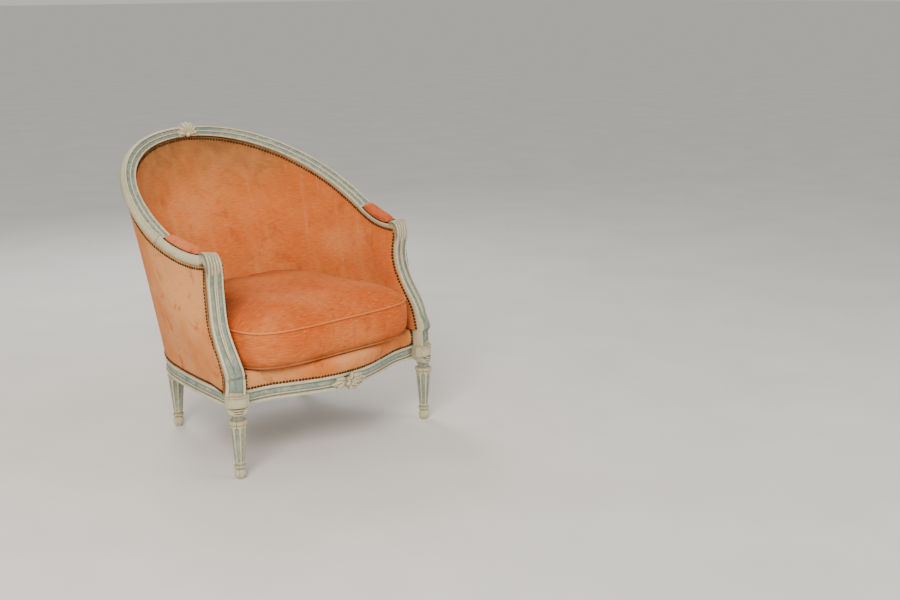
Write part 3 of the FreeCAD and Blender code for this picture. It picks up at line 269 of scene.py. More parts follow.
SUPPORT = support_line()
BELOW_KNUCKLE = SUPPORT.shares <= 0.86


def support_frame(place):
    """Where the arm support's face lies; its two ends are square to the block and the arm rail."""
    place = np.asarray(place, float)
    end = rail_frame(0.0)
    along = SUPPORT.heading(place)
    along = np.where((place <= 0)[..., None], UP, along)
    along = np.where((place >= 1)[..., None], end["along"], along)
    waist = clamp(place / SUPPORT_WAIST)
    cant = blend(FRONT_LEG_CANT, math.radians(SUPPORT_TOP_CANT), waist)
    level = np.stack([np.cos(cant), np.sin(cant), 0 * cant], -1)
    top = clamp((place - SUPPORT_TURN) / (1 - SUPPORT_TURN))
    across = mixed(level, np.broadcast_to(end["across"], level.shape), top)
    across = unit(across - along * dot(across, along))
    return {"middle": SUPPORT.at(place), "along": along, "across": across,
            "normal": unit(np.cross(across, along)), "face": blend(SUPPORT_FACE_FOOT, SUPPORT_FACE_TOP, waist),
            "thickness": SUPPORT_THICKNESS - 10.0 * np.sin(np.pi * top) ** 2}


def seat_point(place, inset, height):
    """Point set back from the seat's outline, at a height."""
    outward = level_normal(SEAT.heading(place))
    return SEAT.at(place) - outward * np.asarray(inset)[..., None] + UP * np.asarray(height)[..., None]


# Walls of the upholstery, from the seat rail up to the top rail

def lead(place, share):
    """How closely a wall follows the arm support: 1 at its front edge, fading along the side."""
    along = clamp(place / blend(LEAD_LOW, LEAD_HIGH, clamp(share / 0.25)))
    return 1 - along * along * (3 - 2 * along)


def top_frame(place):
    """Frame of the top rail, run on forwards under the knuckle at the wall's front edge."""
    shifted = place - FRONT_OVERRUN / TOP_RAIL.length * lead(place, 1.0)
    found = rail_frame(np.maximum(0.0, shifted))
    run_on = np.minimum(0.0, shifted)[..., None] * TOP_RAIL.length
    found["middle"] = found["middle"] + found["along"] * run_on
    return found


def outer_top(place):
    """Upper edge of the outside cloth, under the top rail's back."""
    found = top_frame(place)
    stand = RAIL_THICKNESS + 2 * GAP + CLOTH * found["across"][..., 2]
    return on_frame(found, blend(0.5, -0.5, found["rise"]), -stand)


def inner_top(place):
    """Upper edge of the inside cloth, against the top rail's inner edge."""
    found = top_frame(place)
    return on_frame(found, -0.5 + 0 * found["rise"], -7.0 + 0 * found["rise"]) \
        - found["across"] * (CLOTH + 2 * GAP)


def support_side(height, side, depth, proud):
    """Points beside the arm support at a height: on its outer side (1) or its inner side (-1)."""
    place = np.interp(height, SUPPORT.places[BELOW_KNUCKLE, 2], SUPPORT.shares[BELOW_KNUCKLE])
    found = support_frame(place)
    back = found["normal"] * (1, 1, 0)
    point = found["middle"] + found["across"] * (side * (found["face"] / 2 + proud))[..., None] \
        - unit(back) * np.asarray(depth)[..., None]
    return np.stack([point[..., 0], point[..., 1], height], -1)


def wall_point(place, share, low, high, side, depth):
    """Ruled wall between a low and a high edge, led by the arm support at its front."""
    place, share = np.broadcast_arrays(np.asarray(place, float), np.asarray(share, float))
    point = mixed(low(place), high(place), share)
    beside = clamp(place / SUPPORT_PASS)
    hold = 1 - np.maximum(share, 0) ** 6 * beside
    held = np.minimum(place, SUPPORT_PASS)
    ruled = mixed(low(held), high(held), share)
    follow = lead(place - SUPPORT_PASS, share) * hold
    behind = blend(depth, SUPPORT_THICKNESS + 2.0, beside)
    target = support_side(ruled[..., 2], side, behind, CLOTH + SIDE_GAP)
    return point + (target - ruled) * follow[..., None]


def outer_wall(place, share):
    """Face of the outside cloth."""
    def low(where):
        return seat_point(where, REBATE - CLOTH - GAP, SEAT_TOP + GAP)
    return wall_point(place, share, low, outer_top, 1, 12.0)


def inner_wall(place, share):
    """Face of the inside cloth, bowed inwards by its stuffing."""
    def low(where):
        return seat_point(where, SEAT_PADDING, DECK_HEIGHT + GAP)
    point = wall_point(place, share, low, inner_top, -1, 9.0)
    place, share = np.broadcast_arrays(np.asarray(place, float), np.asarray(share, float))
    bulge = blend(5.0, 15.0, clamp((place - 0.2) / 0.6)) * clamp(place / 0.1)
    bow = bulge * np.sin(np.pi * np.maximum(0.0, share) ** 0.8)
    return point - level_normal(SEAT.heading(place)) * bow[..., None]


def folded(place):
    """The place on the right half that matches one on the whole run from 0 to 2."""
    return 1 - np.abs(1 - np.asarray(place, float))


def whole(points, place):
    """Points worked out on the right half, turned over where the place is on the left."""
    side = np.where(np.asarray(place, float) > 1, -1.0, 1.0)
    return points * np.stack([side, 0 * side + 1, 0 * side + 1], -1)


# Skins

def placed(points):
    """Metres in the part's frame."""
    return (np.asarray(points, float) + SHIFT) / 1000.0


def grid_faces(rows, columns, wrap_rows, wrap_columns):
    """Four corners of each cell of a grid of points, numbered row by row."""
    row = np.arange(rows if wrap_rows else rows - 1)[:, None]
    column = np.arange(columns if wrap_columns else columns - 1)[None, :]

    def number(r, c):
        return (r % rows) * columns + c % columns

    cells = [number(row, column), number(row + 1, column), number(row + 1, column + 1),
             number(row, column + 1)]
    return np.stack(cells, -1).reshape(-1, 4)


class Skin:
    """Points, faces and point attributes of one piece, gathered from several grids."""

    def __init__(self):
        self.points, self.faces, self.paint, self.grime, self.wear, self.lay = [], [], [], [], [], []
        self.count = 0

    def add(self, points, faces, paint=0.0, grime=0.0, wear=0.0, lay=None):
        """Points with their faces and marks; a mark is one number or one for each point."""
        shape = points.shape[:-1]
        self.faces += [[corner + self.count for corner in face] for face in faces]
        self.points.append(points.reshape(-1, 3))
        for store, value in ((self.paint, paint), (self.grime, grime), (self.wear, wear)):
            store.append(np.broadcast_to(value, shape).ravel())
        flat = np.zeros(shape + (3,)) if lay is None else lay
        self.lay.append(np.broadcast_to(flat, shape + (3,)).reshape(-1, 3))
        self.count += points.reshape(-1, 3).shape[0]
        return self

    def grid(self, points, wrap_rows=False, **marks):
        """A grid whose columns close on themselves, with its two ends closed by flat faces."""
        rows, columns = points.shape[:2]
        faces = grid_faces(rows, columns, wrap_rows, True).tolist()
        if not wrap_rows:
            faces.append(list(range(columns))[::-1])
            faces.append([(rows - 1) * columns + c for c in range(columns)])
        return self.add(points, faces, **marks)

    def mirrored(self, side):
        """Turned over to the left if side is -1."""
        self.points = [points * (side, 1, 1) for points in self.points]
        return self

    def make(self, name, material, slot=None, body=BODY, replaces=(), sharp=38.0):
        """Puts the piece into the scene: on its body, instead of the nodes it replaces; the slot is not used.
        """
        points = placed(np.vstack(self.points))
        mesh = bpy.data.meshes.new(name)
        mesh.from_pydata(points.tolist(), [], self.faces)
        for key, store in (("paint", self.paint), ("grime", self.grime), ("wear", self.wear)):
            mesh.attributes.new(key, "FLOAT", "POINT").data.foreach_set("value", np.concatenate(store))
        layer = mesh.attributes.new("lay", "FLOAT_VECTOR", "POINT")
        layer.data.foreach_set("vector", np.vstack(self.lay).ravel())
        joined = bmesh.new()
        joined.from_mesh(mesh)
        bmesh.ops.remove_doubles(joined, verts=joined.verts, dist=2e-6)
        bmesh.ops.recalc_face_normals(joined, faces=joined.faces)
        joined.to_mesh(mesh)
        joined.free()
        mesh.shade_smooth()
        mesh.set_sharp_from_angle(angle=math.radians(sharp))
        mesh.materials.append(material)
        piece = bpy.data.objects.new(name, mesh)
        bpy.context.scene.collection.objects.link(piece)
        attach(piece, body)
        if replaces:
            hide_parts(*replaces)
        return piece


# Materials

def colour(code):
    """Linear colour of an sRGB hex code."""
    channels = [int(code[i:i + 2], 16) / 255 for i in (1, 3, 5)]
    linear = [c / 12.92 if c <= 0.04045 else ((c + 0.055) / 1.055) ** 2.4 for c in channels]
    return (*linear, 1.0)


class Finish:
    """A material in the making: one call adds a node with its inputs, its settings and its links.

    Noise scales are marks to a metre, so 14 is a cloud about 70 mm wide and 430 a crease each 2.3 mm.
    """

    def __init__(self, name):
        self.material = bpy.data.materials.new(name)
        self.material.use_nodes = True
        self.shader = self.material.node_tree.nodes["Principled BSDF"]

    def add(self, kind, inputs=(), out=0, **settings):
        """Inputs are values or outputs, in the node's own order or by their keys."""
        node = self.material.node_tree.nodes.new("ShaderNode" + kind)
        for key, value in settings.items():
            setattr(node, key, value)
        for key, value in (inputs.items() if isinstance(inputs, dict) else enumerate(inputs)):
            self.feed(node, key, value)
        return node.outputs[out]

    def feed(self, node, key, value):
        if isinstance(value, bpy.types.NodeSocket):
            self.material.node_tree.links.new(value, node.inputs[key])
        else:
            node.inputs[key].default_value = value

    def surface(self, **values):
        for key, value in values.items():
            self.feed(self.shader, key.replace("_", " "), value)
        return self.material

    def coated(self, tone, coats):
        """Coats of colour over a first one, each as strong as its own share."""
        for share, coat in coats:
            coat = coat if isinstance(coat, bpy.types.NodeSocket) else colour(coat)
            tone = self.add("Mix", {0: share, 6: tone, 7: coat}, 2, data_type="RGBA")
        return tone


SOFT = {"interpolation_type": "SMOOTHSTEP"}


def painted_wood(name, cream="#CFC59E", blue="#768A80", dirt=1.0):
    """Beech brushed with casein paint: cream mouldings, blue-grey grounds, rubbed back and waxed.

    The paint is matt to satin. Brush marks break up every edge between the two colours, crests are
    rubbed to the ground coat and here and there to the wood, and brown wax lies in the quirks.
    """
    f = Finish(name)
    where = f.add("TexCoord", out="Object")
    mark = {key: f.add("Attribute", out="Fac", attribute_name=key) for key in ("paint", "grime", "wear")}
    broad = f.add("TexNoise", {"Vector": where, "Scale": 14.0, "Detail": 5.0, "Roughness": 0.6})
    fine = f.add("TexNoise", {"Vector": where, "Scale": 160.0, "Detail": 5.0, "Roughness": 0.7})
    brushed = f.add("TexNoise", {"Vector": where, "Scale": 46.0, "Detail": 6.0, "Roughness": 0.75,
                                 "Distortion": 0.6})
    fading = f.add("TexNoise", {"Vector": where, "Scale": 24.0, "Detail": 4.0, "Roughness": 0.65,
                                "Distortion": 1.2})
    spots = f.add("TexNoise", {"Vector": where, "Scale": 300.0, "Detail": 4.0, "Roughness": 0.8})
    handling = f.add("TexNoise", {"Vector": where, "Scale": 34.0, "Detail": 5.0, "Roughness": 0.7,
                                  "Distortion": 0.8})

    stray = f.add("Math", [brushed, 0.5], operation="SUBTRACT")
    edge = f.add("Math", [stray, 0.42, mark["paint"]], operation="MULTIPLY_ADD")
    ground = f.add("MapRange", [edge, 0.38, 0.62], **SOFT)
    cream_tone = f.coated(colour(cream), [(f.add("MapRange", [broad, 0.3, 0.72], **SOFT), "#BFB897")])
    blue_tone = f.coated(colour(blue), [(f.add("MapRange", [brushed, 0.34, 0.7], **SOFT), "#A7AF9B"),
                                        (f.add("MapRange", [broad, 0.5, 0.78], **SOFT), "#647B76")])
    rubbed = f.add("MapRange", [fine, 0.42, 0.66, 0.0, 0.55], **SOFT)
    bare = f.add("MapRange", [brushed, 0.66, 0.74, 0.0, 0.7], **SOFT)
    faded = f.add("MapRange", [fading, 0.54, 0.70, 0.0, 0.65], **SOFT)
    stained = f.add("MapRange", [brushed, 0.2, 0.6, 0.55 * 0.8 * dirt, 0.8 * dirt], **SOFT)
    tone = f.coated(cream_tone, [
        (ground, blue_tone),
        (f.add("Math", [mark["wear"], rubbed], operation="MULTIPLY"), "#F1EBDA"),
        (f.add("Math", [mark["wear"], bare], operation="MULTIPLY"), "#A98A63"),
        (f.add("Math", [ground, faded], operation="MULTIPLY"), "#C3C2AC"),
        (f.add("MapRange", [spots, 0.60, 0.70, 0.0, 0.5], **SOFT), "#7A6A4C"),
        (f.add("MapRange", [handling, 0.5, 0.75, 0.0, 0.4], **SOFT), "#97896A"),
        (f.add("Math", [mark["grime"], stained], operation="MULTIPLY"), "#54452F")])
    strokes = f.add("Bump", {"Height": brushed, "Distance": 0.0006, "Strength": 0.5})
    relief = f.add("Bump", {"Height": fine, "Distance": 0.00025, "Strength": 0.5, "Normal": strokes})
    rough = f.add("MapRange", [broad, 0.3, 0.7, 0.42, 0.62], **SOFT)
    return f.surface(Base_Color=tone, Roughness=rough, Normal=relief, Specular_IOR_Level=0.4)


def velvet(name, main, pale, deep, soil_and_shade, crinkle, streaks, blotch):
    """Cotton velvet, cut pile about 1.5 mm long: crushed across, stroked up and down, faded.

    The pile hardly shines: its edges catch a weak orange sheen. Pale creases run across the cloth a
    few millimetres apart, pale strokes run up it, and clouds of wear lie over both, with dirt and
    painted shade in the darkest colour where each piece's marks lay them. Real
    pile is too fine to show, so its grain is drawn 0.7 mm wide.
    """
    f = Finish(name)
    lay = f.add("Attribute", out="Vector", attribute_name="lay")
    grime = f.add("Attribute", out="Fac", attribute_name="grime")
    where = f.add("TexCoord", out="Object")
    cloudy = f.add("TexNoise", {"Vector": where, "Scale": 5.0, "Detail": 3.0, "Roughness": 0.5})
    patch = f.add("TexNoise", {"Vector": where, "Scale": 19.0, "Detail": 4.0, "Roughness": 0.55,
                               "Distortion": 0.4})
    pile = f.add("TexNoise", {"Vector": where, "Scale": 1500.0, "Detail": 2.0, "Roughness": 0.6})
    stroke, crush, cross = [
        f.add("TexNoise", {"Vector": f.add("VectorMath", [lay, (*to_a_metre, 1.0)], operation="MULTIPLY"),
                           "Scale": 1.0, "Detail": detail, "Roughness": rough, "Distortion": bent})
        for to_a_metre, detail, rough, bent in (((30.0, 2.2), 3.0, 0.5, 0.25), ((38.0, 430.0), 4.0, 0.6, 0.35),
                                                ((420.0, 60.0), 3.0, 0.6, 0.0))]
    soiled_and_shaded = f.add("MapRange", [patch, 0.25, 0.65, 0.65, 1.0], **SOFT)
    tone = f.coated(colour(main), [
        (f.add("MapRange", [cloudy, 0.38, 0.66, 0.0, blotch], **SOFT), pale),
        (f.add("MapRange", [patch, 0.54, 0.74, 0.0, blotch], **SOFT), deep),
        (f.add("MapRange", [stroke, 0.5, 0.72, 0.0, streaks], **SOFT), pale),
        (f.add("MapRange", [crush, 0.53, 0.64, 0.0, 0.42 * crinkle], **SOFT), pale),
        (f.add("MapRange", [crush, 0.47, 0.34, 0.0, 0.5 * crinkle], **SOFT), deep),
        (f.add("MapRange", [cross, 0.56, 0.72, 0.0, 0.14], **SOFT), pale),
        # Dirt and painted shade: the darkest colour, laid where the piece's dirt-and-shade mark says
        (f.add("Math", [grime, soiled_and_shaded], operation="MULTIPLY"), soil_and_shade)])
    creases = f.add("Bump", {"Height": crush, "Distance": 0.0016 * crinkle, "Strength": 0.8})
    relief = f.add("Bump", {"Height": pile, "Distance": 0.0003, "Strength": 0.5, "Normal": creases})
    rough = f.add("MapRange", [crush, 0.3, 0.7, 0.92, 0.74], **SOFT)
    return f.surface(Base_Color=tone, Roughness=rough, Normal=relief, Specular_IOR_Level=0.15,
                     Sheen_Weight=0.10, Sheen_Roughness=0.45, Sheen_Tint=colour("#FFC48F"))


def woven(name, light, dark, pitch, stripe=None):
    """Plain-woven cloth: warp and weft cross over each other every pitch metres.

    The weave's height is the sine across times the sine along, so its checks stand up and sink. A
    stripe runs where the paint mark is near 0 or 1, along the two selvedges of a strap.
    """
    f = Finish(name)
    where = f.add("TexCoord", out="Object")
    warp, weft = [f.add("Math", [f.add("Math", [f.add("SeparateXYZ", [where], axis), math.pi / pitch],
                                       operation="MULTIPLY")], operation="SINE") for axis in (0, 1)]
    check = f.add("Math", [warp, weft], operation="MULTIPLY")
    cloud = f.add("TexNoise", {"Vector": where, "Scale": 60.0, "Detail": 4.0, "Roughness": 0.55})
    coats = [(f.add("MapRange", [check, -0.6, 0.6], **SOFT), dark),
             (f.add("MapRange", [cloud, 0.3, 0.8, 0.0, 0.5], **SOFT), dark)]
    if stripe:
        across = f.add("Attribute", out="Fac", attribute_name="paint")
        off = f.add("Math", [f.add("Math", [across, 0.5], operation="SUBTRACT")], operation="ABSOLUTE")
        coats.append((f.add("MapRange", [off, 0.30, 0.36, 0.0, 0.7], **SOFT), stripe))
    relief = f.add("Bump", {"Height": check, "Distance": pitch * 0.4, "Strength": 0.8})
    return f.surface(Base_Color=f.coated(colour(light), coats), Roughness=0.9, Normal=relief,
                     Specular_IOR_Level=0.1)


def plain_wood(name, light, dark):
    """Bare wood, sawn and planed: soft long grain across Y and Z, with short darker flecks."""
    f = Finish(name)
    where = f.add("TexCoord", out="Object")
    grain, fleck = [
        f.add("TexNoise", {"Vector": f.add("VectorMath", [where, to_a_metre], operation="MULTIPLY"),
                           "Scale": 1.0, "Detail": detail, "Roughness": rough, "Distortion": bent})
        for to_a_metre, detail, rough, bent in (((9.0, 60.0, 60.0), 6.0, 0.6, 0.5),
                                                ((120.0, 700.0, 700.0), 2.0, 0.55, 0.0))]
    tone = f.coated(colour(light), [(f.add("MapRange", [grain, 0.3, 0.7], **SOFT), dark),
                                    (f.add("MapRange", [fleck, 0.62, 0.74, 0.0, 0.4], **SOFT), "#6B4A2A")])
    relief = f.add("Bump", {"Height": grain, "Distance": 0.0004, "Strength": 0.4})
    return f.surface(Base_Color=tone, Roughness=0.6, Normal=relief)


def old_metal(name, bright, dull, rough):
    """Metal dulled by handling and age, in spots about 3 mm wide."""
    f = Finish(name)
    cloud = f.add("TexNoise", {"Vector": f.add("TexCoord", out="Object"), "Scale": 320.0, "Detail": 4.0,
                               "Roughness": 0.7})
    tone = f.coated(colour(bright), [(f.add("MapRange", [cloud, 0.35, 0.65], **SOFT), dull)])
    relief = f.add("Bump", {"Height": cloud, "Distance": 0.0002, "Strength": 0.4})
    return f.surface(Base_Color=tone, Metallic=0.85, Normal=relief,
                     Roughness=f.add("MapRange", [cloud, 0.3, 0.7, rough, rough + 0.2], **SOFT))


def studio_paper():
    """Matt background paper, in two whites so close that the floor reads as plain."""
    f = Finish("studio_paper")
    cloud = f.add("TexNoise", {"Vector": f.add("TexCoord", out="Object"), "Scale": 3.0, "Detail": 3.0,
                               "Roughness": 0.55})
    tone = f.coated(colour("#DEDCD8"), [(f.add("MapRange", [cloud, 0.2, 0.8], **SOFT), "#E6E4E0")])
    return f.surface(Base_Color=tone, Roughness=0.85, Specular_IOR_Level=0.2)


PAINT = painted_wood("painted_beech_worn")
# The legs' cream is darker than the frame's: painted shade under the seat
LEG_PAINT_IN_SHADE = painted_wood("painted_beech_legs_in_shade", "#C0B790", "#7E8E82", 1.2)
# Each velvet's fourth colour is laid over its dirt and over its painted shade
VELVET_INSIDE = velvet("cotton_velvet_inside", "#D4702E", "#E29A5C", "#B4521C", "#664823", 0.9, 0.35, 0.55)
VELVET_OUTSIDE = velvet("cotton_velvet_faded", "#D67E3A", "#E3A36C", "#C75E1C", "#B95516", 0.6, 0.4, 0.9)
VELVET_CUSHION = velvet("cotton_velvet_cushion", "#CC5B1A", "#E28F4E", "#A6420C", "#5A3214", 1.15, 0.1, 0.4)
VELVET_PAD = velvet("cotton_velvet_pads", "#CC5B2C", "#E08A5C", "#A84420", "#6E3A20", 1.0, 0.1, 0.6)
VELVET_BAND = velvet("cotton_velvet_band", "#D4742E", "#E1995E", "#BA5012", "#98440F", 0.5, 0.1, 1.0)
# The piping's paler orange is a painted highlight on the round cords
CORD_VELVET = velvet("velvet_piping_bias_cut_painted_highlight", "#DE7E3C", "#EFB07A", "#B9561E", "#7A4A28", 0.2, 0.0, 0.4)
BRASS = old_metal("antique_brass_nails", "#5E4A2A", "#1F160C", 0.42)
STEEL = old_metal("wood_screw_steel", "#8D8D8A", "#5E5C58", 0.4)
JUTE = woven("jute_webbing", "#B79B6E", "#7C6440", 0.0022, "#6B3B2A")
HESSIAN = woven("hessian_plain_weave", "#B69A6C", "#8B7047", 0.0016)
BEECH = plain_wood("raw_beech", "#C9A074", "#A87C50")
BIRCH = plain_wood("birch_dowel", "#D9BE93", "#B99563")


# Show-wood mouldings

def bead(t):
    """Height of a rounded bead, 1 at its crown, across its width from 0 to 1."""
    return np.sqrt(np.maximum(0.0, 1 - (2 * t - 1) ** 2)) ** 0.85


def hollow(t):
    """Depth of a flat-bottomed hollow with a quick turn at its two edges."""
    return 1 - np.abs(2 * t - 1) ** 5


def strips_profile(strips, samples=11):
    """Shares, heights and marks across a face that is a row of beads and hollows.

    Each strip is its width as a share of the face, its rise, and 1 if it is painted blue.
    """
    across, height, paint, grime, wear = [], [], [], [], []
    start = -0.5
    t = np.linspace(0, 1, samples)
    for width, rise, blue in strips:
        form = bead(t) if rise > 0 else hollow(t)
        near = 1 - np.abs(2 * t - 1)
        across.append(start + width * t)
        height.append(rise * form)
        paint.append(np.full(samples, float(blue)))
        grime.append(np.exp(-near * (7 if blue else 9)) * (1.0 if blue else 0.55))
        wear.append(bead(t) ** 3 if not blue else 0 * t)
        start += width
    return [np.concatenate(values) for values in (across, height, paint, grime, wear)]


def on_grid(found, sideways, height):
    """Points on frames, one row a frame: shares of the face's width, and heights out of it."""
    reach = (sideways * found["face"][:, None])[..., None]
    return (found["middle"][:, None] + found["across"][:, None] * reach
            + found["normal"][:, None] * height[..., None])


def round_back(found, thick, lip=None):
    """Points down the outer side of a rail, round its back and up the inner side.

    A lip is the depth of one more point at either end, just under the face.
    """
    flat = np.zeros((len(found["face"]), 1))
    corner = BACK_CORNER / found["face"][:, None]
    sides = [0.5 + flat, 0.5 + flat, 0.5 - 0.3 * corner, 0.5 - corner]
    depths = [thick * 0.5, thick - BACK_CORNER, thick - 1.0, thick]
    if lip is not None:
        sides.insert(0, 0.5 + flat)
        depths.insert(0, lip + flat)
    sides += [-side for side in sides[::-1]]
    depths += depths[::-1]
    return on_grid(found, np.concatenate(sides, 1), -np.concatenate(depths, 1))


def rail_ring(found, strips, thickness, amount=1.0, extra=0.0):
    """Closed section of a moulded rail at each place; amount fades the moulding along it."""
    u, rise, paint, grime, wear = strips_profile(strips)
    count = len(found["face"])
    amount = np.broadcast_to(amount, (count,))[:, None]
    height = rise[None, :] * amount + np.broadcast_to(extra, (count, len(u)))
    face = on_grid(found, np.broadcast_to(u, height.shape), height)
    rest = round_back(found, np.broadcast_to(thickness, (count,))[:, None], 1.2)
    soiled_and_shaded = np.broadcast_to([0.0, 0.05, 0.5, 0.7, 0.3, 0.3, 0.7, 0.6, 0.3, 0.1], rest.shape[:2])
    worn = np.broadcast_to([0.7, 0, 0, 0.4, 0.2, 0.2, 0.4, 0, 0, 0.7], rest.shape[:2])
    marks = {"paint": np.concatenate([paint * amount, 0 * soiled_and_shaded], 1),
             "grime": np.concatenate([grime * blend(0.35, 1.0, amount), soiled_and_shaded], 1),
             "wear": np.concatenate([np.broadcast_to(wear, height.shape), worn], 1)}
    return np.concatenate([face, rest], 1), marks


# Width as a share of the face, rise, and 1 where it is blue
RAIL_STRIPS = [(0.17, 3.0, 0), (0.26, -2.4, 1), (0.15, 2.8, 0), (0.27, -2.4, 1), (0.15, 3.2, 0)]


def arm_rail(side, name):
    """Arm rail whose moulding stops behind the pad in a small raised lip."""
    place = np.concatenate([np.linspace(0.0, 0.17, 30), np.linspace(0.172, 0.24, 60),
                            np.linspace(0.245, CREST_JOINT - JOINT_GAP, 90)])
    found = rail_frame(place)
    amount = smooth(0.200, 0.214, place)
    u = strips_profile(RAIL_STRIPS)[0]
    middle = smooth(0.40, 0.36, np.abs(u))[None, :]
    lip = 3.4 * np.exp(-((place - 0.194) / 0.0045) ** 2)[:, None] * middle
    pocket = -2.6 * (1 - smooth(0.182, 0.190, place))[:, None] * middle
    edge = 2.6 * (1 - amount)[:, None] * smooth(0.37, 0.42, np.abs(u))[None, :] * bead(
        clamp((0.5 - np.abs(u)) / 0.13))[None, :]
    points, marks = rail_ring(found, RAIL_STRIPS, RAIL_THICKNESS, amount, lip + pocket + edge)
    near = np.exp(-((place - 0.203) / 0.003) ** 2)[:, None]
    marks["grime"] = clamp(marks["grime"] + 0.6 * near)
    Skin().grid(points, **marks).mirrored(side).make(name, PAINT, "painted_beech", replaces=[name])


def crest_rail():
    """Top rail between its two joints, with the ribbed shell that stands over its middle."""
    place = np.linspace(CREST_JOINT + JOINT_GAP, 2 - CREST_JOINT - JOINT_GAP, 181)
    found = rail_frame(folded(place))
    points, marks = rail_ring(found, RAIL_STRIPS, RAIL_THICKNESS)
    skin = Skin().grid(whole(points, np.repeat(place[:, None], points.shape[1], 1)), **marks)
    add_shell(skin)
    skin.make("crest_rail", PAINT, "painted_beech", replaces=["crest_rail"])


def add_shell(skin, lobes=7, height=37.0, half_width=34.0):
    """Fan of round ribs with quirks between them and a scalloped edge.

    A rib's height is the size of a cosine that turns once for each lobe round the fan, and the fan is
    dished along each rib.
    """
    angle = np.radians(np.linspace(-6, 186, 169))[:, None]
    share = np.linspace(0.12, 1.0, 22)[None, :]
    rib = np.abs(np.cos(np.clip(angle, 0, np.pi) * lobes + np.pi / 2))
    edge = blend(0.86, 1.0, rib ** 0.6)
    reach = np.where(share > 0.6, share * blend(1.0, edge, smooth(0.6, 1.0, share)), share)
    x = half_width * np.cos(angle) * reach
    z = height * np.sin(angle) * reach
    dish = 1.0 - 0.75 * (share - 0.55) ** 2 / 0.2
    lift = 4.0 + 5.0 * dish + 2.6 * (rib ** 0.55) * smooth(0.05, 0.5, share)
    rim = smooth(1.0, 0.86, share)
    front = np.stack([x + 0 * share, CREST_REACH - 2 - lift * rim, SHELL_FOOT + z], -1)
    back = np.stack([x + 0 * share, CREST_REACH + 8 + 2.5 * rim + 0 * x, SHELL_FOOT + z], -1)
    ring = np.concatenate([front, back[:, ::-1]], 1)
    quirk = np.exp(-rib * 6.0) + 0 * share
    marks = np.concatenate([quirk, 0.4 + 0 * quirk], 1)
    worn = np.concatenate([rib ** 4 * smooth(0.4, 0.9, share), 0 * quirk], 1)
    skin.grid(ring, grime=marks * 0.9, wear=worn)
    for side in (-1, 1):
        add_leaf(skin, (side * 8, CREST_REACH - 5, SHELL_FOOT - 1), (side, 0, -0.12), (0, -1, 0.1), 34, 11, 4.0)
    add_dome(skin, (0, CREST_REACH - 7, SHELL_FOOT + 1), (0, -1, 0.1), 9.0, 6.0)


def add_leaf(skin, start, way, face, length, width, rise):
    """Carved leaf: a midrib between two arched halves, with lobes cut into both edges.

    Its half-width is a sine of the share of its length, cut by a faster sine for the lobes.
    """
    way = unit(np.array(way, float))
    face = np.array(face, float)
    face = unit(face - way * (face @ way))
    across = np.cross(way, face)
    t = np.linspace(0.0, 1.0, 41)[:, None]
    u = np.linspace(-1, 1, 21)[None, :]
    lobes = 1 - 0.22 * np.abs(np.sin(4.5 * np.pi * t)) * (np.abs(u) > 0.2)
    half = width / 2 * (np.sin(np.pi * np.clip(t, 0.02, 0.985) ** 0.75) ** 0.8) * lobes
    arch = np.sqrt(np.maximum(0, 1 - np.abs(u) ** 2.4)) * (1 - 0.45 * np.exp(-(u / 0.13) ** 2))
    ribs = 0.14 * np.sin(9 * np.pi * t - 3.0 * np.abs(u)) * np.abs(u)
    lift = rise * (arch + ribs) * np.sin(np.pi * np.clip(t, 0.03, 0.99)) ** 0.5
    curl = rise * 0.5 * t ** 2
    flat = np.array(start, float) + way * (length * (t + 0 * u))[..., None] + across * (half * u)[..., None]
    top = flat + face * (lift + curl + 0 * u)[..., None]
    under = flat - face * 3.0
    quirk = np.exp(-(u / 0.12) ** 2) * 0.9 + 0.5 * np.abs(u) ** 6 + 0 * t
    ring = np.concatenate([top, under[:, ::-1]], 1)
    skin.grid(ring, grime=np.concatenate([quirk, 1 + 0 * quirk], 1),
              wear=np.concatenate([arch ** 3 + 0 * t, 0 * quirk], 1))


def add_dome(skin, start, face, radius, rise):
    """Round boss in the middle of a carving, as half of a flattened ball."""
    face = unit(np.array(face, float))
    across = unit(np.cross(face, (0.0, 0.3, 1.0)))
    other = np.cross(face, across)
    height = np.linspace(0.0, np.pi / 2 * 0.97, 9)[:, None]
    turn = np.linspace(0, 2 * np.pi, 25)[:-1][None, :]
    out = np.array(start, float) + (across * np.cos(turn)[..., None] + other * np.sin(turn)[..., None]) \
        * (radius * np.cos(height))[..., None] + face * (rise * np.sin(height) + 0 * turn)[..., None]
    skin.grid(out, grime=np.exp(-5 * height) + 0 * turn, wear=np.sin(height) ** 3 + 0 * turn)


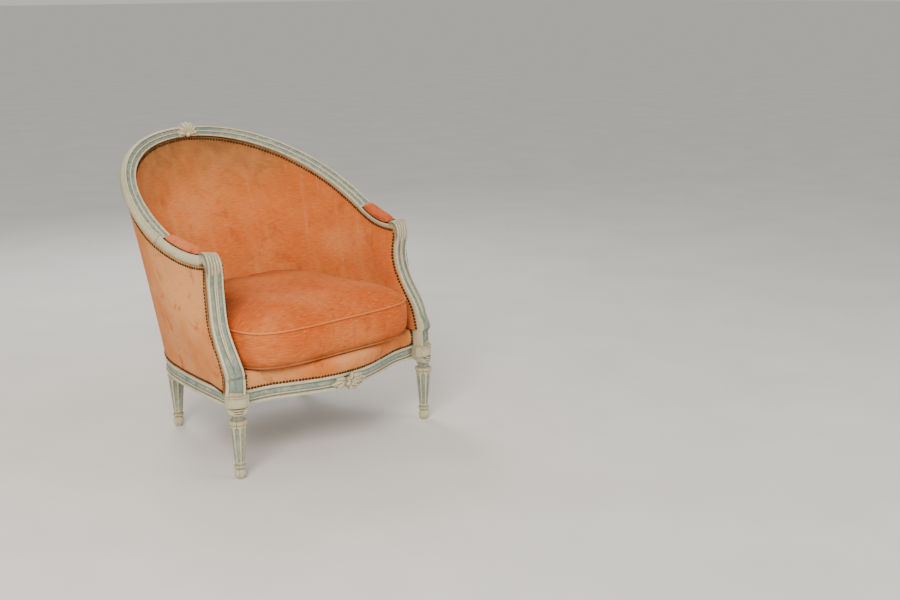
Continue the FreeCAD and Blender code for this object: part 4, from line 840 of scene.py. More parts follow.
def arm_support(side, name):
    """Swept support: cream edges, blue hollows, a double ridge that rises out of a sunk panel,
    a shoulder over the seat rail and a knuckle carved in five rolls.

    Heights over the face are beads and hollows across it, each faded in or out along it.
    """
    place = np.concatenate([np.linspace(0, 0.72, 110), np.linspace(0.725, 1.0, 90)])
    found = support_frame(place)
    p = place[:, None]
    u = np.concatenate([[-0.5, -0.496], np.linspace(-0.49, 0.49, 113), [0.496, 0.5]])[None, :]
    a = np.abs(u)
    inner_edge, panel_foot = 0.35, 0.017
    edge = bead(clamp((0.5 - a) / (0.5 - inner_edge))) * (a > inner_edge)
    ridge_half = 0.115 * smooth(0.13, 0.34, p) + 1e-4
    double = (np.sqrt(np.clip(1 - (np.abs(a / ridge_half - 0.5) * 2) ** 2, 0, 1))) ** 0.8
    ridge = np.where(a < ridge_half, np.maximum(0.25, double), 0) * smooth(0.12, 0.22, p)
    ground = np.where((a <= inner_edge) & (a >= ridge_half), 1.0, 0.0)
    depth = ground * np.minimum(clamp((inner_edge - a) / 0.03), clamp((a - ridge_half) / 0.02))
    sill = smooth(panel_foot - 0.005, panel_foot + 0.005, p)
    height = 3.0 * edge + 2.9 * ridge - 2.4 * depth
    height = np.where(a < inner_edge, height * sill + 2.0 * (1 - sill), height)
    roll = np.abs(np.sin(np.pi * 5 * (u + 0.5))) ** 0.7
    knuckle = smooth(0.77, 0.84, p)
    height = blend(height, 4.2 * roll - 1.4, knuckle)
    level = found["middle"][:, 2:3]
    shoulder = smooth(279.0, 290.0, level) * smooth(335.0, 296.0, level)
    height = height * smooth(1.003, 0.97, p) + SHOULDER_PROUD * shoulder * smooth(0.5, 0.47, a)
    face = on_grid(found, u + 0 * p, height)
    rest = round_back(found, found["thickness"][:, None])
    paint = ground * sill * (1 - knuckle) + 0.75 * knuckle * (1 - roll)
    quirk = np.exp(-(np.abs(a - inner_edge) / 0.018) ** 2) \
        + np.exp(-((a - ridge_half) / 0.016) ** 2) * smooth(0.1, 0.2, p)
    split = np.exp(-(a / 0.02) ** 2) * smooth(0.2, 0.4, p) * 0.8
    under_sill = 0.8 * np.exp(-((p - panel_foot) / 0.006) ** 2) * (a < inner_edge + 0.01)
    under_shoulder = 0.2 * np.exp(-((level - 283.5) / 2.0) ** 2)
    grime = blend(0.9 * quirk + split, 0.18 + np.exp(-roll * 3.0), knuckle) + under_sill + under_shoulder
    wear = blend(edge ** 3 + ridge ** 3, roll ** 4, knuckle)
    plain = np.zeros(rest.shape[:2])
    skin = Skin().grid(np.concatenate([face, rest], 1), paint=np.concatenate([paint, plain], 1),
                       grime=np.concatenate([clamp(grime), plain + 0.25], 1),
                       wear=np.concatenate([clamp(wear), plain], 1))
    skin.mirrored(side).make(name, PAINT, "painted_beech", replaces=[name])


def seat_profile():
    """Section of the seat rails from the bottom of the face up and round, with its marks.

    Rows are depth behind the face, height, paint, grime and wear. The step between the lower bead
    and the blue ground is a bead worked out at nine heights.
    """
    low, top = SEAT_LOW, SEAT_TOP
    t = np.linspace(0, 1, 9)
    step = np.stack([3.6 - 2.6 * bead(t), low + 12.0 + 4.2 * t, 0.6 - 0.5 * bead(t), 0.9 * (1 - bead(t)),
                     bead(t)], 1)
    lower = [(1.2, low, 0, 0.2, 0.3), (0.3, low + 0.4, 0, 0.1, 0.9), (0.0, low + 1.4, 0, 0, 0.9),
             (0.0, low + 5.0, 0, 0, 0.4), (0.5, low + 7.0, 0, 0.2, 0.9), (2.4, low + 8.2, 0.3, 0.9, 0),
             (3.4, low + 9.2, 1, 0.8, 0), (3.8, low + 10.6, 1, 0.4, 0)]
    ground = [(3.8, low + 17.4, 1, 0.5, 0), (4.2, low + 21.0, 1, 0.05, 0), (4.4, low + 24.0, 1, 0, 0),
              (4.2, low + 28.0, 1, 0.1, 0), (3.4, low + 31.0, 1, 0.7, 0), (2.2, low + 32.2, 0.4, 0.9, 0)]
    upper = [(0.5, low + 33.4, 0, 0.3, 0.7), (0.0, low + 35.0, 0, 0, 0.6), (-0.3, low + 38.0, 0, 0, 0.4),
             (0.0, top - 1.2, 0, 0.1, 0.8), (0.6, top - 0.2, 0, 0.3, 0.9)]
    back = [(REBATE, top, 0, 1, 0), (REBATE, TACKING_TOP, 0, 0, 0), (SEAT_THICKNESS, TACKING_TOP, 0, 0, 0),
            (SEAT_THICKNESS, low, 0, 0.2, 0)]
    return np.vstack([lower, step, ground, upper, back]).T


def seat_sweep(skin, line, places):
    """Seat rail along a line; its outward side is to the right of the heading."""
    depth, height, paint, grime, wear = seat_profile()
    outward = level_normal(line.heading(places))
    points = line.at(places)[:, None] - outward[:, None] * depth[None, :, None] + UP * height[None, :, None]
    shape = points.shape[:2]
    marks = {"paint": paint, "grime": grime, "wear": wear}
    return skin.grid(points, **{key: np.broadcast_to(value, shape) for key, value in marks.items()})


def seat_rails():
    """Moulded side, back and front rails between the leg blocks."""
    low, high = REAR_LEG_PLACE - REAR_BLOCK_HALF, REAR_LEG_PLACE + REAR_BLOCK_HALF
    for side, word in ((1, "right"), (-1, "left")):
        skin = seat_sweep(Skin(), SEAT, np.linspace(-0.004, low - JOINT_GAP, 90)).mirrored(side)
        skin.make("side_rail_" + word, PAINT, "painted_beech", replaces=["side_rail_" + word])
    skin = seat_sweep(Skin(), SEAT, np.linspace(high + JOINT_GAP, 2 - high - JOINT_GAP, 90))
    skin.make("back_rail", PAINT, "painted_beech", replaces=["back_rail"])
    skin = seat_sweep(Skin(), FRONT_RAIL, np.linspace(0.004, 0.996, 181))
    add_flower(skin)
    skin.make("front_rail", PAINT, "painted_beech", replaces=["front_rail"])


def add_flower(skin):
    """Rosette on the middle of the front rail, with three pairs of leaves that run along it."""
    face, height = -FRONT_REACH, 216.0
    for petals, turned, lean, reach, proud, length, width, rise in (
            (8, 0.2, 0.12, 6, 15, 20, 19, 9.5), (5, 0.0, -0.35, 3, 21, 12, 12, 5)):
        for angle in 2 * np.pi * np.arange(petals) / petals + turned:
            way = (math.cos(angle), lean, math.sin(angle))
            start = (reach * math.cos(angle), face - proud, height + reach * math.sin(angle))
            add_leaf(skin, start, way, (0, -1, 0), length, width, rise)
    add_dome(skin, (0, face - 24, height), (0, -1, 0), 5, 5)
    for side in (-1, 1):
        for length, droop, proud, width in ((58, -0.06, 1, 26), (44, -0.42, 3, 22), (44, 0.30, 2, 20)):
            add_leaf(skin, (side * 6, face - proud, height), (side, 0.13, droop), (0, -1, -0.15),
                     length, width, 8.0)


# Legs

def turned_profile(top):
    """Radius and marks up the turned leg, at closely spaced heights.

    Straight and tapered runs come from a table of radii, and the ball, two beads and the neck's
    hollow are added to them.
    """
    z = np.concatenate([np.linspace(0, 46, 60), np.linspace(46.5, 150.5, 60), np.linspace(151, top, 40)])
    radius = np.interp(z, [0, 29, 31, 41, 47, 150, 157, 158.5, 166, 169, 181, top],
                       [10.0, 11.6, 13.5, 13.5, 13.5, 23, 23, 24.5, 24.5, 18, 18, 18])
    radius = radius + 5.4 * np.sin(np.pi * clamp(z / BALL_TOP)) ** 0.8 * (z < BALL_TOP)
    for low, length, rise in ((31.5, 9.0, 2.9), (157.5, 10.0, 1.2), (169.0, 11.0, -1.6)):
        radius = radius + rise * bead(clamp((z - low) / length)) * ((z > low) & (z < low + length))
    grime = sum(np.exp(-np.abs(z - quirk) / width)
                for quirk, width in ((30, 1.2), (41.5, 1.5), (157, 1.0), (169.5, 1.6)))
    return z, radius, clamp(grime + 0.25 * np.exp(-z / 8))


def add_turned_leg(skin, middle, top):
    """Tapered leg: round-ended flutes, painted in their hollows, between a ball foot and a neck.

    A flute's depth is a half-circle across it, and its half-width shrinks in a quarter-circle at
    either end.
    """
    z, radius, grime = turned_profile(top)
    turn = np.linspace(0, 2 * np.pi, FLUTES * 22 + 1)[:-1]
    pitch = 2 * np.pi / FLUTES
    off = (turn + pitch / 2) % pitch - pitch / 2
    inside = ((z > FLUTE_LOW) & (z < FLUTE_HIGH)).astype(float)
    ending = clamp(np.minimum(z - FLUTE_LOW, FLUTE_HIGH - z) / FLUTE_END)
    half = pitch * 0.31 * np.sqrt(1 - (1 - ending) ** 2) * inside + 1e-6
    across = np.abs(off)[None, :] / half[:, None]
    scoop = np.sqrt(np.maximum(0, 1 - across ** 2)) ** 0.9
    reach = radius[:, None] * (1 - 0.17 * scoop)
    points = np.stack([middle[0] + reach * np.cos(turn), middle[1] + reach * np.sin(turn),
                       np.repeat(z[:, None], len(turn), 1)], -1)
    paint = 0.85 * (across < 0.97) * inside[:, None]
    neck = ((z > 170) & (z < 181))[:, None] * 0.75
    quirk = np.exp(-np.abs(across - 1) * 9) * inside[:, None]
    rubbed = (across > 1.1) * inside[:, None] + bead(clamp(z / BALL_TOP))[:, None] ** 4
    skin.grid(points, paint=paint + neck + 0 * reach, grime=clamp(grime[:, None] + 0.75 * quirk),
              wear=clamp(rubbed + 0 * reach))


def block_ring(half_width, ahead, behind, height, square, shift=0.0, count=72):
    """Level ring round the canted block: a superellipse, squarer for a larger power."""
    turn = np.linspace(0, 2 * np.pi, count + 1)[:-1]
    x = half_width * power(np.cos(turn), 2 / square) + shift
    y = np.where(np.sin(turn) > 0, ahead, behind) * power(np.sin(turn), 2 / square)
    return np.array([FRONT_LEG_X, 0.0, height]) + CANT_ACROSS * x[:, None] + CANT_OUTWARD * y[:, None]


def add_rings(skin, rings, grime=0.0, wear=0.0):
    """Rings closed into a skin, with one value of each mark for a ring."""
    points = np.array(rings)
    marks = {key: np.broadcast_to(np.reshape(value, (-1, 1)), points.shape[:2])
             for key, value in (("grime", grime), ("wear", wear))}
    skin.grid(points, **marks)


def front_leg(side, name):
    """Fluted leg under a canted block with a bowed drum, on a collar cut in three flat steps."""
    skin = Skin()
    add_turned_leg(skin, (FRONT_LEG_X, 0.0), 182.0)
    # Height, half-width and power of each ring of the collar and block, with its grime and wear
    collar = [(180.5, 18.0, 3.0, 0.9, 0), (182.5, 20.5, 3.2, 0.5, 0), (189.0, 25.0, 4.0, 0.1, 0.3),
              (197.0, 29.5, 6.0, 0.1, 0.3), (203.0, 31.0, 9.0, 0.4, 0.2), (205.0, 31.6, 12.0, 0.5, 0.6),
              (206.5, 32.0, 14.0, 0.1, 0.4), (225.0, 32.0, 14.0, 0, 0.1), (236.0, 32.0, 14.0, 0.1, 0.2),
              (237.0, 31.4, 14.0, 0.7, 0), (237.6, 32.4, 14.0, 0.2, 0.9), (SEAT_TOP, 32.0, 14.0, 0.4, 0.5)]
    rings = []
    for z, half, square, _, _ in collar:
        flat = smooth(181, 203, z)
        rings.append(block_ring(half, blend(18.0, 7.0, flat), blend(18.0, 12.0, flat), z, square))
    add_rings(skin, rings, [row[3] for row in collar], [row[4] for row in collar])
    core = [block_ring(12.0, 2.0, 12.0, 186, 6.0, -3.5)]
    core += [block_ring(18.0, 2.0, 32.0, z, 10.0, -3.5) for z in (196, 238.5)]
    add_rings(skin, core, 0.3)
    add_drum(skin)
    for step in range(3):
        low, out, wide = 183.5 + 7 * step, 19.5 + 1.6 * step, 11.0 + 0.9 * step
        rings = [block_ring(wide - inset, out + proud, 5.0, low + up, 7.0)
                 for inset, proud, up in ((0.6, -1.0, 0.0), (0.0, 0.0, 0.8), (0.0, 0.4, 4.4), (0.6, -0.8, 5.2))]
        add_rings(skin, rings, [0.9, 0.1, 0.1, 0.9], [0.2, 0.8, 0.8, 0.2])
    skin.mirrored(side).make(name, LEG_PAINT_IN_SHADE, "painted_beech", replaces=[name])


def add_drum(skin, radius=35.0, ahead=23.0, half_width=27.5):
    """Bowed front of the block: a cap with a rounded edge over a body that is drawn in below.

    Each ring is an arc of the drum's radius across the cant, closed by a line behind it.
    """
    x = np.linspace(-1, 1, 33)
    # Height, width as a share, how far it stands out, grime and wear
    levels = [(204.0, 0.80, -3.0, 0.7, 0.2), (205.5, 0.90, -1.6, 0.3, 0.5), (208.0, 0.96, -0.8, 0.0, 0.3),
              (214.0, 0.99, -0.2, 0.0, 0.1), (220.0, 1.0, 0.0, 0.0, 0.4), (226.0, 1.0, 0.0, 0.0, 0),
              (230.0, 1.0, 0.0, 0.1, 0.5), (232.0, 0.99, -0.4, 0.5, 0.4), (233.0, 0.985, -0.8, 0.8, 0),
              (234.0, 1.0, 0.8, 0.1, 0.9), (236.4, 1.01, 1.2, 0.1, 0.9), (237.2, 1.0, 0.6, 0.3, 0.4)]
    rings = []
    for z, wide, proud, _, _ in levels:
        reach = half_width * wide * x
        bow = ahead - radius + np.sqrt(radius ** 2 - reach ** 2) + proud
        base = np.array([FRONT_LEG_X, 0.0, z])
        front = base + CANT_ACROSS * reach[:, None] + CANT_OUTWARD * bow[:, None]
        back = base + CANT_ACROSS * (reach[::-1] * 0.98)[:, None] + CANT_OUTWARD
        rings.append(np.concatenate([front, back]))
    add_rings(skin, rings, [level[3] for level in levels], [level[4] for level in levels])


def rear_leg(side, name):
    """Turned leg, its moulded block in line with the rails, and the post inside the upholstery."""
    low, high = REAR_LEG_PLACE - REAR_BLOCK_HALF, REAR_LEG_PLACE + REAR_BLOCK_HALF
    skin = seat_sweep(Skin(), SEAT, np.linspace(low + JOINT_GAP, high - JOINT_GAP, 16))
    axis = seat_point(REAR_LEG_PLACE, REAR_LEG_INSET, 0.0)
    add_turned_leg(skin, axis[:2], SEAT_LOW + 1.0)
    heading = SEAT.heading(REAR_LEG_PLACE)
    half, inwards = heading * POST_WIDTH / 2, -level_normal(heading)
    outside = outer_wall(REAR_LEG_PLACE, np.linspace(0.10, 0.96, 6)) + inwards * POST_INSET
    inside = outside + inwards * POST_DEPTH
    skin.grid(np.stack([outside - half, outside + half, inside + half, inside - half], 1))
    skin.mirrored(side).make(name, LEG_PAINT_IN_SHADE, "painted_beech", replaces=[name])


# Upholstery

def facing(points, outside):
    """Unit normals of a grid of points, turned to the side that outside points to."""
    along = np.gradient(points, axis=0)
    up = np.gradient(points, axis=1)
    normal = unit(np.cross(along, up))
    flip = np.sign(np.sum(normal * outside, -1, keepdims=True))
    return normal * np.where(flip == 0, 1.0, flip)


def cloth_lay(points):
    """Metres along and up a grid of points, measured through its middle row and each column."""
    along = travelled(points[:, points.shape[1] // 2])[:, None]
    rise = np.linalg.norm(np.diff(points, axis=1), axis=2)
    up = np.concatenate([np.zeros((len(points), 1)), np.cumsum(rise, 1)], 1)
    return np.stack([along + 0 * up, up, 0 * up], -1) / 1000.0


def pucker(lay, edges):
    """Small pleats between the nails: a cosine along the cloth, as strong as its edges say."""
    return edges * np.cos(2 * np.pi * lay[..., 0] * 1000.0 / PLEAT)


def cloth_piece(name, points, outside, slot, material, replaces, grime=0.0, relief=0.0, thickness=CLOTH):
    """Sheet of cloth with a front face on the points and a back face its thickness behind them."""
    normal = facing(points, outside)
    front = points + normal * np.asarray(relief)[..., None]
    back = points - normal * thickness
    lay = cloth_lay(points)
    ring = np.concatenate([front, back[:, ::-1]], 1)
    soil_and_shade = np.broadcast_to(grime, points.shape[:2])
    skin = Skin().grid(ring, lay=np.concatenate([lay, lay[:, ::-1]], 1),
                       grime=np.concatenate([soil_and_shade, soil_and_shade[:, ::-1]], 1))
    return skin.make(name, material, slot, replaces=replaces, sharp=70.0)


def inside_cover():
    """Velvet of the inside arms and back in one sweep, dirtied under the crest and by the arms.

    Over the bowed wall go pleats by the nails and shallow dips, a product of three sines.
    """
    place = np.linspace(0.0, 2.0, 441)[:, None]
    share = np.concatenate([np.linspace(0, 0.9, 40), np.linspace(0.91, 1.0, 14)])[None, :]
    points = whole(inner_wall(folded(place), share), place + 0 * share)
    lay = cloth_lay(points)
    dips = np.sin(lay[..., 0] * 31 + 1.3) * np.sin(lay[..., 0] * 17) * np.sin(np.pi * share)
    relief = 0.5 * pucker(lay, np.exp(-(1 - share) * 38)) + 1.3 * dips
    head = smooth(0.62, 0.97, share) * smooth(0.15, 0.8, rail_rise(folded(place))) * 0.62
    near_nails = np.exp(-(1 - share) * 26) * 0.25
    low = smooth(0.22, 0.0, share) * 0.35
    piece = cloth_piece("inside_cover", points, inward(points), "velvet_inside", VELVET_INSIDE,
                        ["inside_cover", "stuffing_back", "stuffing_arm_right", "stuffing_arm_left",
                         "back_hessian", "back_webbing"], head + near_nails + low, relief)


def inward(points):
    """Directions towards the middle of the seat."""
    return SEAT_MIDDLE - points * (1, 1, 0)


def outside_covers():
    """Faded velvet of the outside arms and back, stretched between the rails and nailed round."""
    seam = 0.0006
    last = REAR_LEG_PLACE
    runs = [("side_right", 0.0, last - seam, ["arm_rail_right", "side_rail_right"]),
            ("side_left", 2.0, 2 - last + seam, ["arm_rail_left", "side_rail_left"]),
            ("back", last + seam, 2 - last - seam, ["crest_rail", "back_rail"])]
    for word, start, end, held_by in runs:
        name = "outside_cover_" + word
        place = np.linspace(start, end, 150)[:, None]
        share = np.linspace(0, 1, 46)[None, :]
        points = whole(outer_wall(folded(place), share), place + 0 * share)
        edges = np.exp(-(1 - share) * 45) + np.exp(-share * 45) + 0 * place
        # Darker along the nailed top and bottom edges, at the arm's front by the support, and towards the
        # bottom
        soil_and_shade = 0.30 * edges + 0.35 * np.exp(-folded(place) * 60) + 0.16 * smooth(0.45, 0.1, share)
        piece = cloth_piece(name, points, -inward(points), "velvet_outside", VELVET_OUTSIDE, [name], soil_and_shade,
                            0.45 * pucker(cloth_lay(points), edges))


def front_edge(inset, half_width, height, count=61):
    """Points along the front rail's face, set back by the inset, from left to right."""
    x = np.linspace(-half_width, half_width, count)
    place = np.interp(x, FRONT_RAIL.places[:, 0], FRONT_RAIL.shares)
    heading = FRONT_RAIL.heading(place)
    return FRONT_RAIL.at(place) - level_normal(heading) * inset + UP * height


def deck_ring(front_inset, side_inset, height):
    """Level ring: the serpentine front, then one sweep round the sides and back."""
    front = front_edge(front_inset, DECK_HALF_WIDTH - side_inset, height)
    place = np.linspace(0.16, 1.0, 9)
    back = seat_point(place, SEAT_PADDING - 3.0 + side_inset, height)
    ring = Line(np.vstack([front[-1:], back, back[-2::-1] * (-1, 1, 1), front[:1]]))
    return np.vstack([front, ring.at(np.linspace(0, 1, 121))[1:-1]])


def deck():
    """Velvet deck under the cushion, stuffed with horsehair: rings that rise, then close to the middle."""
    steps = [(267.0, 4.0, 0.0), (275.0, 4.0, 0.0), (283.0, 7.0, 1.5), (287.0, 14.0, 5.0),
             (288.4, 26.0, 12.0), (288.9, 34.0, 18.0)]
    rings = [deck_ring(front, side, z) for z, front, side in steps]
    middle = rings[-1].mean(axis=0)
    rings += [blend(rings[-1], middle, share) for share in (0.12, 0.26, 0.42, 0.6, 0.78, 0.95)]
    piece = Skin().grid(np.array(rings), lay=np.array(rings) / 1000, grime=0.15).make(
        "seat_cover", VELVET_BAND, "velvet_inside", replaces=["seat_cover", "seat_stuffing"], sharp=60.0)


def seat_band():
    """Velvet over the front of the deck: nailed along the rail, rolled over the deck's edge."""
    steps = [(239.5, 1.2), (242.0, 0.2), (247.0, -1.4), (254.0, -2.8), (262.0, -3.6), (270.0, -3.6),
             (277.0, -2.4), (282.0, 0.4), (285.6, 4.2), (288.0, 9.0), (289.4, 16.0), (289.6, 30.0),
             (289.5, 62.0)]
    outer = np.array([front_edge(inset, DECK_HALF_WIDTH, z, 181) for z, inset in steps]).transpose(1, 0, 2)
    lay = cloth_lay(outer)
    share = np.linspace(0, 1, len(steps))[None, :]
    edge = np.exp(-share * 16)
    # Darker along the nailed edge, and painted shade towards the top, where the band rolls under the cushion
    soil_and_shade = 0.30 * edge + 0.12 * smooth(0.5, 0.9, share) + 0 * lay[..., 0]
    piece = cloth_piece("seat_band", outer, np.array([0.0, -1.0, 0.35]) + 0 * outer, "velvet_inside",
                        VELVET_BAND, ["seat_band"], soil_and_shade, 0.4 * pucker(lay, edge), 1.6)


def pad_shape(place):
    """How full the pad is, 1 but for its rounded ends, and how wide; a superellipse along it."""
    middle = (place - (PAD_FRONT + PAD_REAR) / 2) / (PAD_REAR - PAD_FRONT) * 2
    full = np.sqrt(np.clip(1 - np.abs(middle) ** 4.5, 0, 1))
    return full, PAD_WIDTH * blend(0.74, 1.0, full)


def arm_pads():
    """Small crowned pads with pleats that fade out up their sides.

    Across a pad its height is a sine from edge to edge, raised to a power that makes it plump.
    """
    place = np.linspace(PAD_FRONT, PAD_REAR, 81)
    found = rail_frame(place)
    full, width = (values[:, None] for values in pad_shape(place))
    crown = blend(2.0, PAD_CROWN, full) + PAD_FULLER
    turn = np.linspace(0, np.pi, 33)[None, :]
    along = place[:, None] * TOP_RAIL.length
    pleat = np.cos(2 * np.pi * along / PAD_NAIL_PITCH) * np.exp(-np.sin(turn) * 5.5)
    over = -PAD_SINK + (crown + PAD_SINK) * np.sin(turn) ** 0.62 + 0.8 * pleat
    under = np.linspace(0.46, -0.46, 5)[None, :] * width
    sideways = np.concatenate([-width / 2 * power(np.cos(turn), 0.75), under], 1)
    height = np.concatenate([over, -PAD_SINK - 0.2 + 0 * under], 1)
    points = on_grid(found, sideways / found["face"][:, None], height)
    lay = np.stack([along + 0 * height, sideways, 0 * height], -1) / 1000
    # Painted shade down the pad's sides to its edges, and on its underside
    soil_and_shade = np.concatenate([0.5 * np.exp(-np.sin(turn) * 6) + 0 * width, 0.5 + 0 * under], 1)
    for side, word in ((1, "right"), (-1, "left")):
        name = "arm_pad_cover_" + word
        piece = Skin().grid(points, lay=lay, grime=soil_and_shade).mirrored(side).make(
            name, VELVET_PAD, "velvet_pad", replaces=[name, "arm_pad_stuffing_" + word], sharp=70.0)


# Nails

def nail_shape(sides=8):
    """One dome-headed nail: rings that close to its crown above and to a point of its shank below."""
    rings = [(1.0, 0.0), (0.86, 0.52), (0.5, 0.86)]
    turn = np.linspace(0, 2 * np.pi, sides + 1)[:-1]
    points = [(r * math.cos(a), r * math.sin(a), h) for r, h in rings for a in turn]
    points += [(0.0, 0.0, 1.0), (0.0, 0.0, -0.35)]
    faces = grid_faces(len(rings), sides, False, True).tolist()
    last, crown = sides * (len(rings) - 1), sides * len(rings)
    faces += [[last + i, last + (i + 1) % sides, crown] for i in range(sides)]
    faces += [[(i + 1) % sides, i, crown + 1] for i in range(sides)]
    return np.array(points), faces


def nails(name, rows, pitch=NAIL_PITCH, radius=NAIL_RADIUS):
    """Rows of nails an even pitch apart; each row is a run of points and the ways its cloth faces."""
    shape, faces = nail_shape()
    skin = Skin()
    chance = np.random.default_rng(11)
    for run in rows:
        way = travelled(run[0])
        at = np.linspace(0, way[-1], max(2, int(round(way[-1] / pitch)) + 1))
        middles, ways = (np.stack([np.interp(at, way, values[:, k]) for k in range(3)], -1) for values in run)
        ways = unit(ways)
        middles = middles + chance.normal(0, NAIL_STRAY, middles.shape)
        side = unit(np.cross(ways, np.roll(ways, 1, axis=1) + (0.1, 0.2, 0.9)))
        axes = np.stack([side, np.cross(ways, side), ways * NAIL_DOME], 1)
        for one in middles[:, None] + (shape * radius) @ axes:
            skin.add(one, faces)
    skin.make(name, BRASS, sharp=60.0)


def wall_row(wall, start, end, share, toward):
    """Run of points along a wall at one height share, with its outward directions."""
    place = np.linspace(start, end, 500)[:, None]
    near = share + np.array([-0.01, 0.0, 0.01])[None, :]
    points = whole(wall(folded(place), near), place + 0 * near)
    return points[:, 1], facing(points, toward * inward(points))[:, 1]


def upright_row(wall, low, high, toward):
    """Run of points up a wall's front edge."""
    near = np.array([0.0, 0.004, 0.008])
    points = wall(near[:, None], np.linspace(low, high, 60)[None, :])
    return points[1], facing(points, toward * inward(points))[1]


def both(rows):
    """Rows on the right, then the same rows on the left."""
    return rows + [(points * (-1, 1, 1), normal * (-1, 1, 1)) for points, normal in rows]


def cover_nails():
    """Nails round the inside and outside covers and along the band over the front rail."""
    rows = [wall_row(outer_wall, 0.0, 2.0, 0.982, -1), wall_row(inner_wall, 0.012, 1.988, 0.988, 1),
            wall_row(outer_wall, 0.012, 1.988, 0.016, -1)]
    rows += both([upright_row(outer_wall, 0.03, 0.96, -1)])
    rows += both([upright_row(inner_wall, 0.02, 0.95, 1)])
    low = front_edge(0.2, DECK_HALF_WIDTH - 2, 243.6, 181)
    rows.append((low, level_normal(np.gradient(low, axis=0))))
    post = np.array([front_edge(-2.6, DECK_HALF_WIDTH - 3, z)[-1] for z in np.linspace(247, 281, 12)])
    rows += both([(post, np.broadcast_to([-0.1, -1.0, 0.1], post.shape))])
    nails("nails_covers", rows)


def pad_nails():
    """Nails round each arm pad, down its two sides and across its two ends."""
    outside, above, end_outside, inset = 1.2, 3.2, 2.5, 0.003
    place = np.linspace(PAD_FRONT + inset, PAD_REAR - inset, 60)
    found = rail_frame(place)
    half = pad_shape(place)[1] / 2
    rows = []
    for side in (-1, 1):
        line = on_frame(found, side * (half + outside) / found["face"], above + 0 * place)
        rows.append((line, found["across"] * side + found["normal"] * 0.9))
    for end, sign in ((0, -1), (-1, 1)):
        one = {key: np.repeat(value[[end]], 9, 0) for key, value in found.items()}
        u = np.linspace(-0.8, 0.8, 9) * half[end] / one["face"]
        line = on_frame(one, u, above + 0 * u) + one["along"] * (sign * end_outside)
        rows.append((line, one["along"] * sign + one["normal"] * 0.9))
    nails("nails_pads", both(rows), PAD_NAIL_PITCH, PAD_NAIL_RADIUS)


# Seat straps and hessian

def straps():
    """Jute straps, the lengthwise ones woven over and under the cross ones.

    A strap's height is a cosine along it with one crest or hollow at each strap it crosses, alternate
    straps the other way up, and it lies flat where it is tacked down.
    """
    lanes = np.linspace(-STRAP_HALF, STRAP_HALF, 9)
    for name, lengthwise in (("seat_webbing_cross", False), ("seat_webbing_long", True)):
        skin = Skin()
        over = 1 if lengthwise else -1
        for step in range(STRAPS):
            middle = STRAP_PITCH * (step - STRAPS // 2) + (0.0 if lengthwise else STRAP_MIDDLE)
            start, end = strap_ends(middle, lengthwise)
            run = np.linspace(start, end, 81)
            across, along = np.meshgrid(middle + lanes, run)
            crossing = np.cos(np.pi * (along - (STRAP_MIDDLE if lengthwise else 0.0)) / STRAP_PITCH)
            sign = over * (1 if step % 2 else -1)
            held = smooth(0, 40, np.minimum(run - start, end - run))[:, None]
            z = STRAP_LEVEL + 0.9 * over * (1 - held) + sign * 0.85 * crossing * held
            x, y = (across, along) if lengthwise else (along, across)
            top = np.stack([x, y, z + STRAP_THICKNESS / 2], -1)
            under = np.stack([x, y, z - STRAP_THICKNESS / 2], -1)
            stripe = np.broadcast_to(np.linspace(0, 1, 9), x.shape)
            skin.grid(np.concatenate([top, under[:, ::-1]], 1),
                      paint=np.concatenate([stripe, stripe[:, ::-1]], 1))
        skin.make(name, JUTE, "jute_webbing", replaces=[name])


def strap_ends(middle, lengthwise):
    """Where a strap starts and ends on the tacking top of the rails."""
    tacked = 14.0
    place = np.linspace(0, 1, 400)
    inner = seat_point(place, tacked, 0.0 * place)
    if lengthwise:
        front = front_edge(tacked, 300.0, 0.0, 200)
        back = np.interp(abs(middle), inner[::-1, 0], inner[::-1, 1])
        return float(np.interp(middle, front[:, 0], front[:, 1])), float(back)
    reach = float(np.interp(middle, inner[:, 1], inner[:, 0]))
    return -reach, reach


def hessian():
    """Hessian over the straps, under the stuffing: level rings above and the same ones below."""
    rings = np.array([deck_ring(blend(300.0, 45.0, share), blend(220.0, 2.0, share), 265.2)
                      for share in (0.0, 0.5, 1.0)])
    loop = np.concatenate([rings, rings[::-1] - (0, 0, 1.2)])
    Skin().grid(loop).make("seat_hessian", HESSIAN, "hessian", replaces=["seat_hessian"])


# Loose cushion

def cushion_ring(inset, height, lean=0.0, count=160):
    """Level outline of the cushion: squarish front corners, rounder back, drawn-in sides.

    Two half superellipses joined at the sides, pulled in at the waist and spread at the front.
    """
    angle = 2 * np.pi * np.arange(24) / 24
    ahead = np.sin(angle) < 0
    square = np.where(ahead, FRONT_CORNER, REAR_CORNER)
    reach = np.where(ahead, CUSHION_AHEAD, CUSHION_BEHIND + lean)
    x = (CUSHION_HALF - inset) * power(np.cos(angle), square)
    y = CUSHION_MIDDLE + (reach - inset) * power(np.sin(angle), square)
    drawn = 5.0 * (1 - np.abs(np.sin(angle))) ** 2 \
        - CORNER_SPREAD * smooth(250.0, 60.0, y) * clamp(1 - inset / 90.0)
    points = np.stack([x - np.sign(x) * drawn * (np.abs(x) > 1.0), y, height + 0 * x], -1)
    return Line(points, closed=True).at(np.linspace(0, 1, count + 1)[:-1])


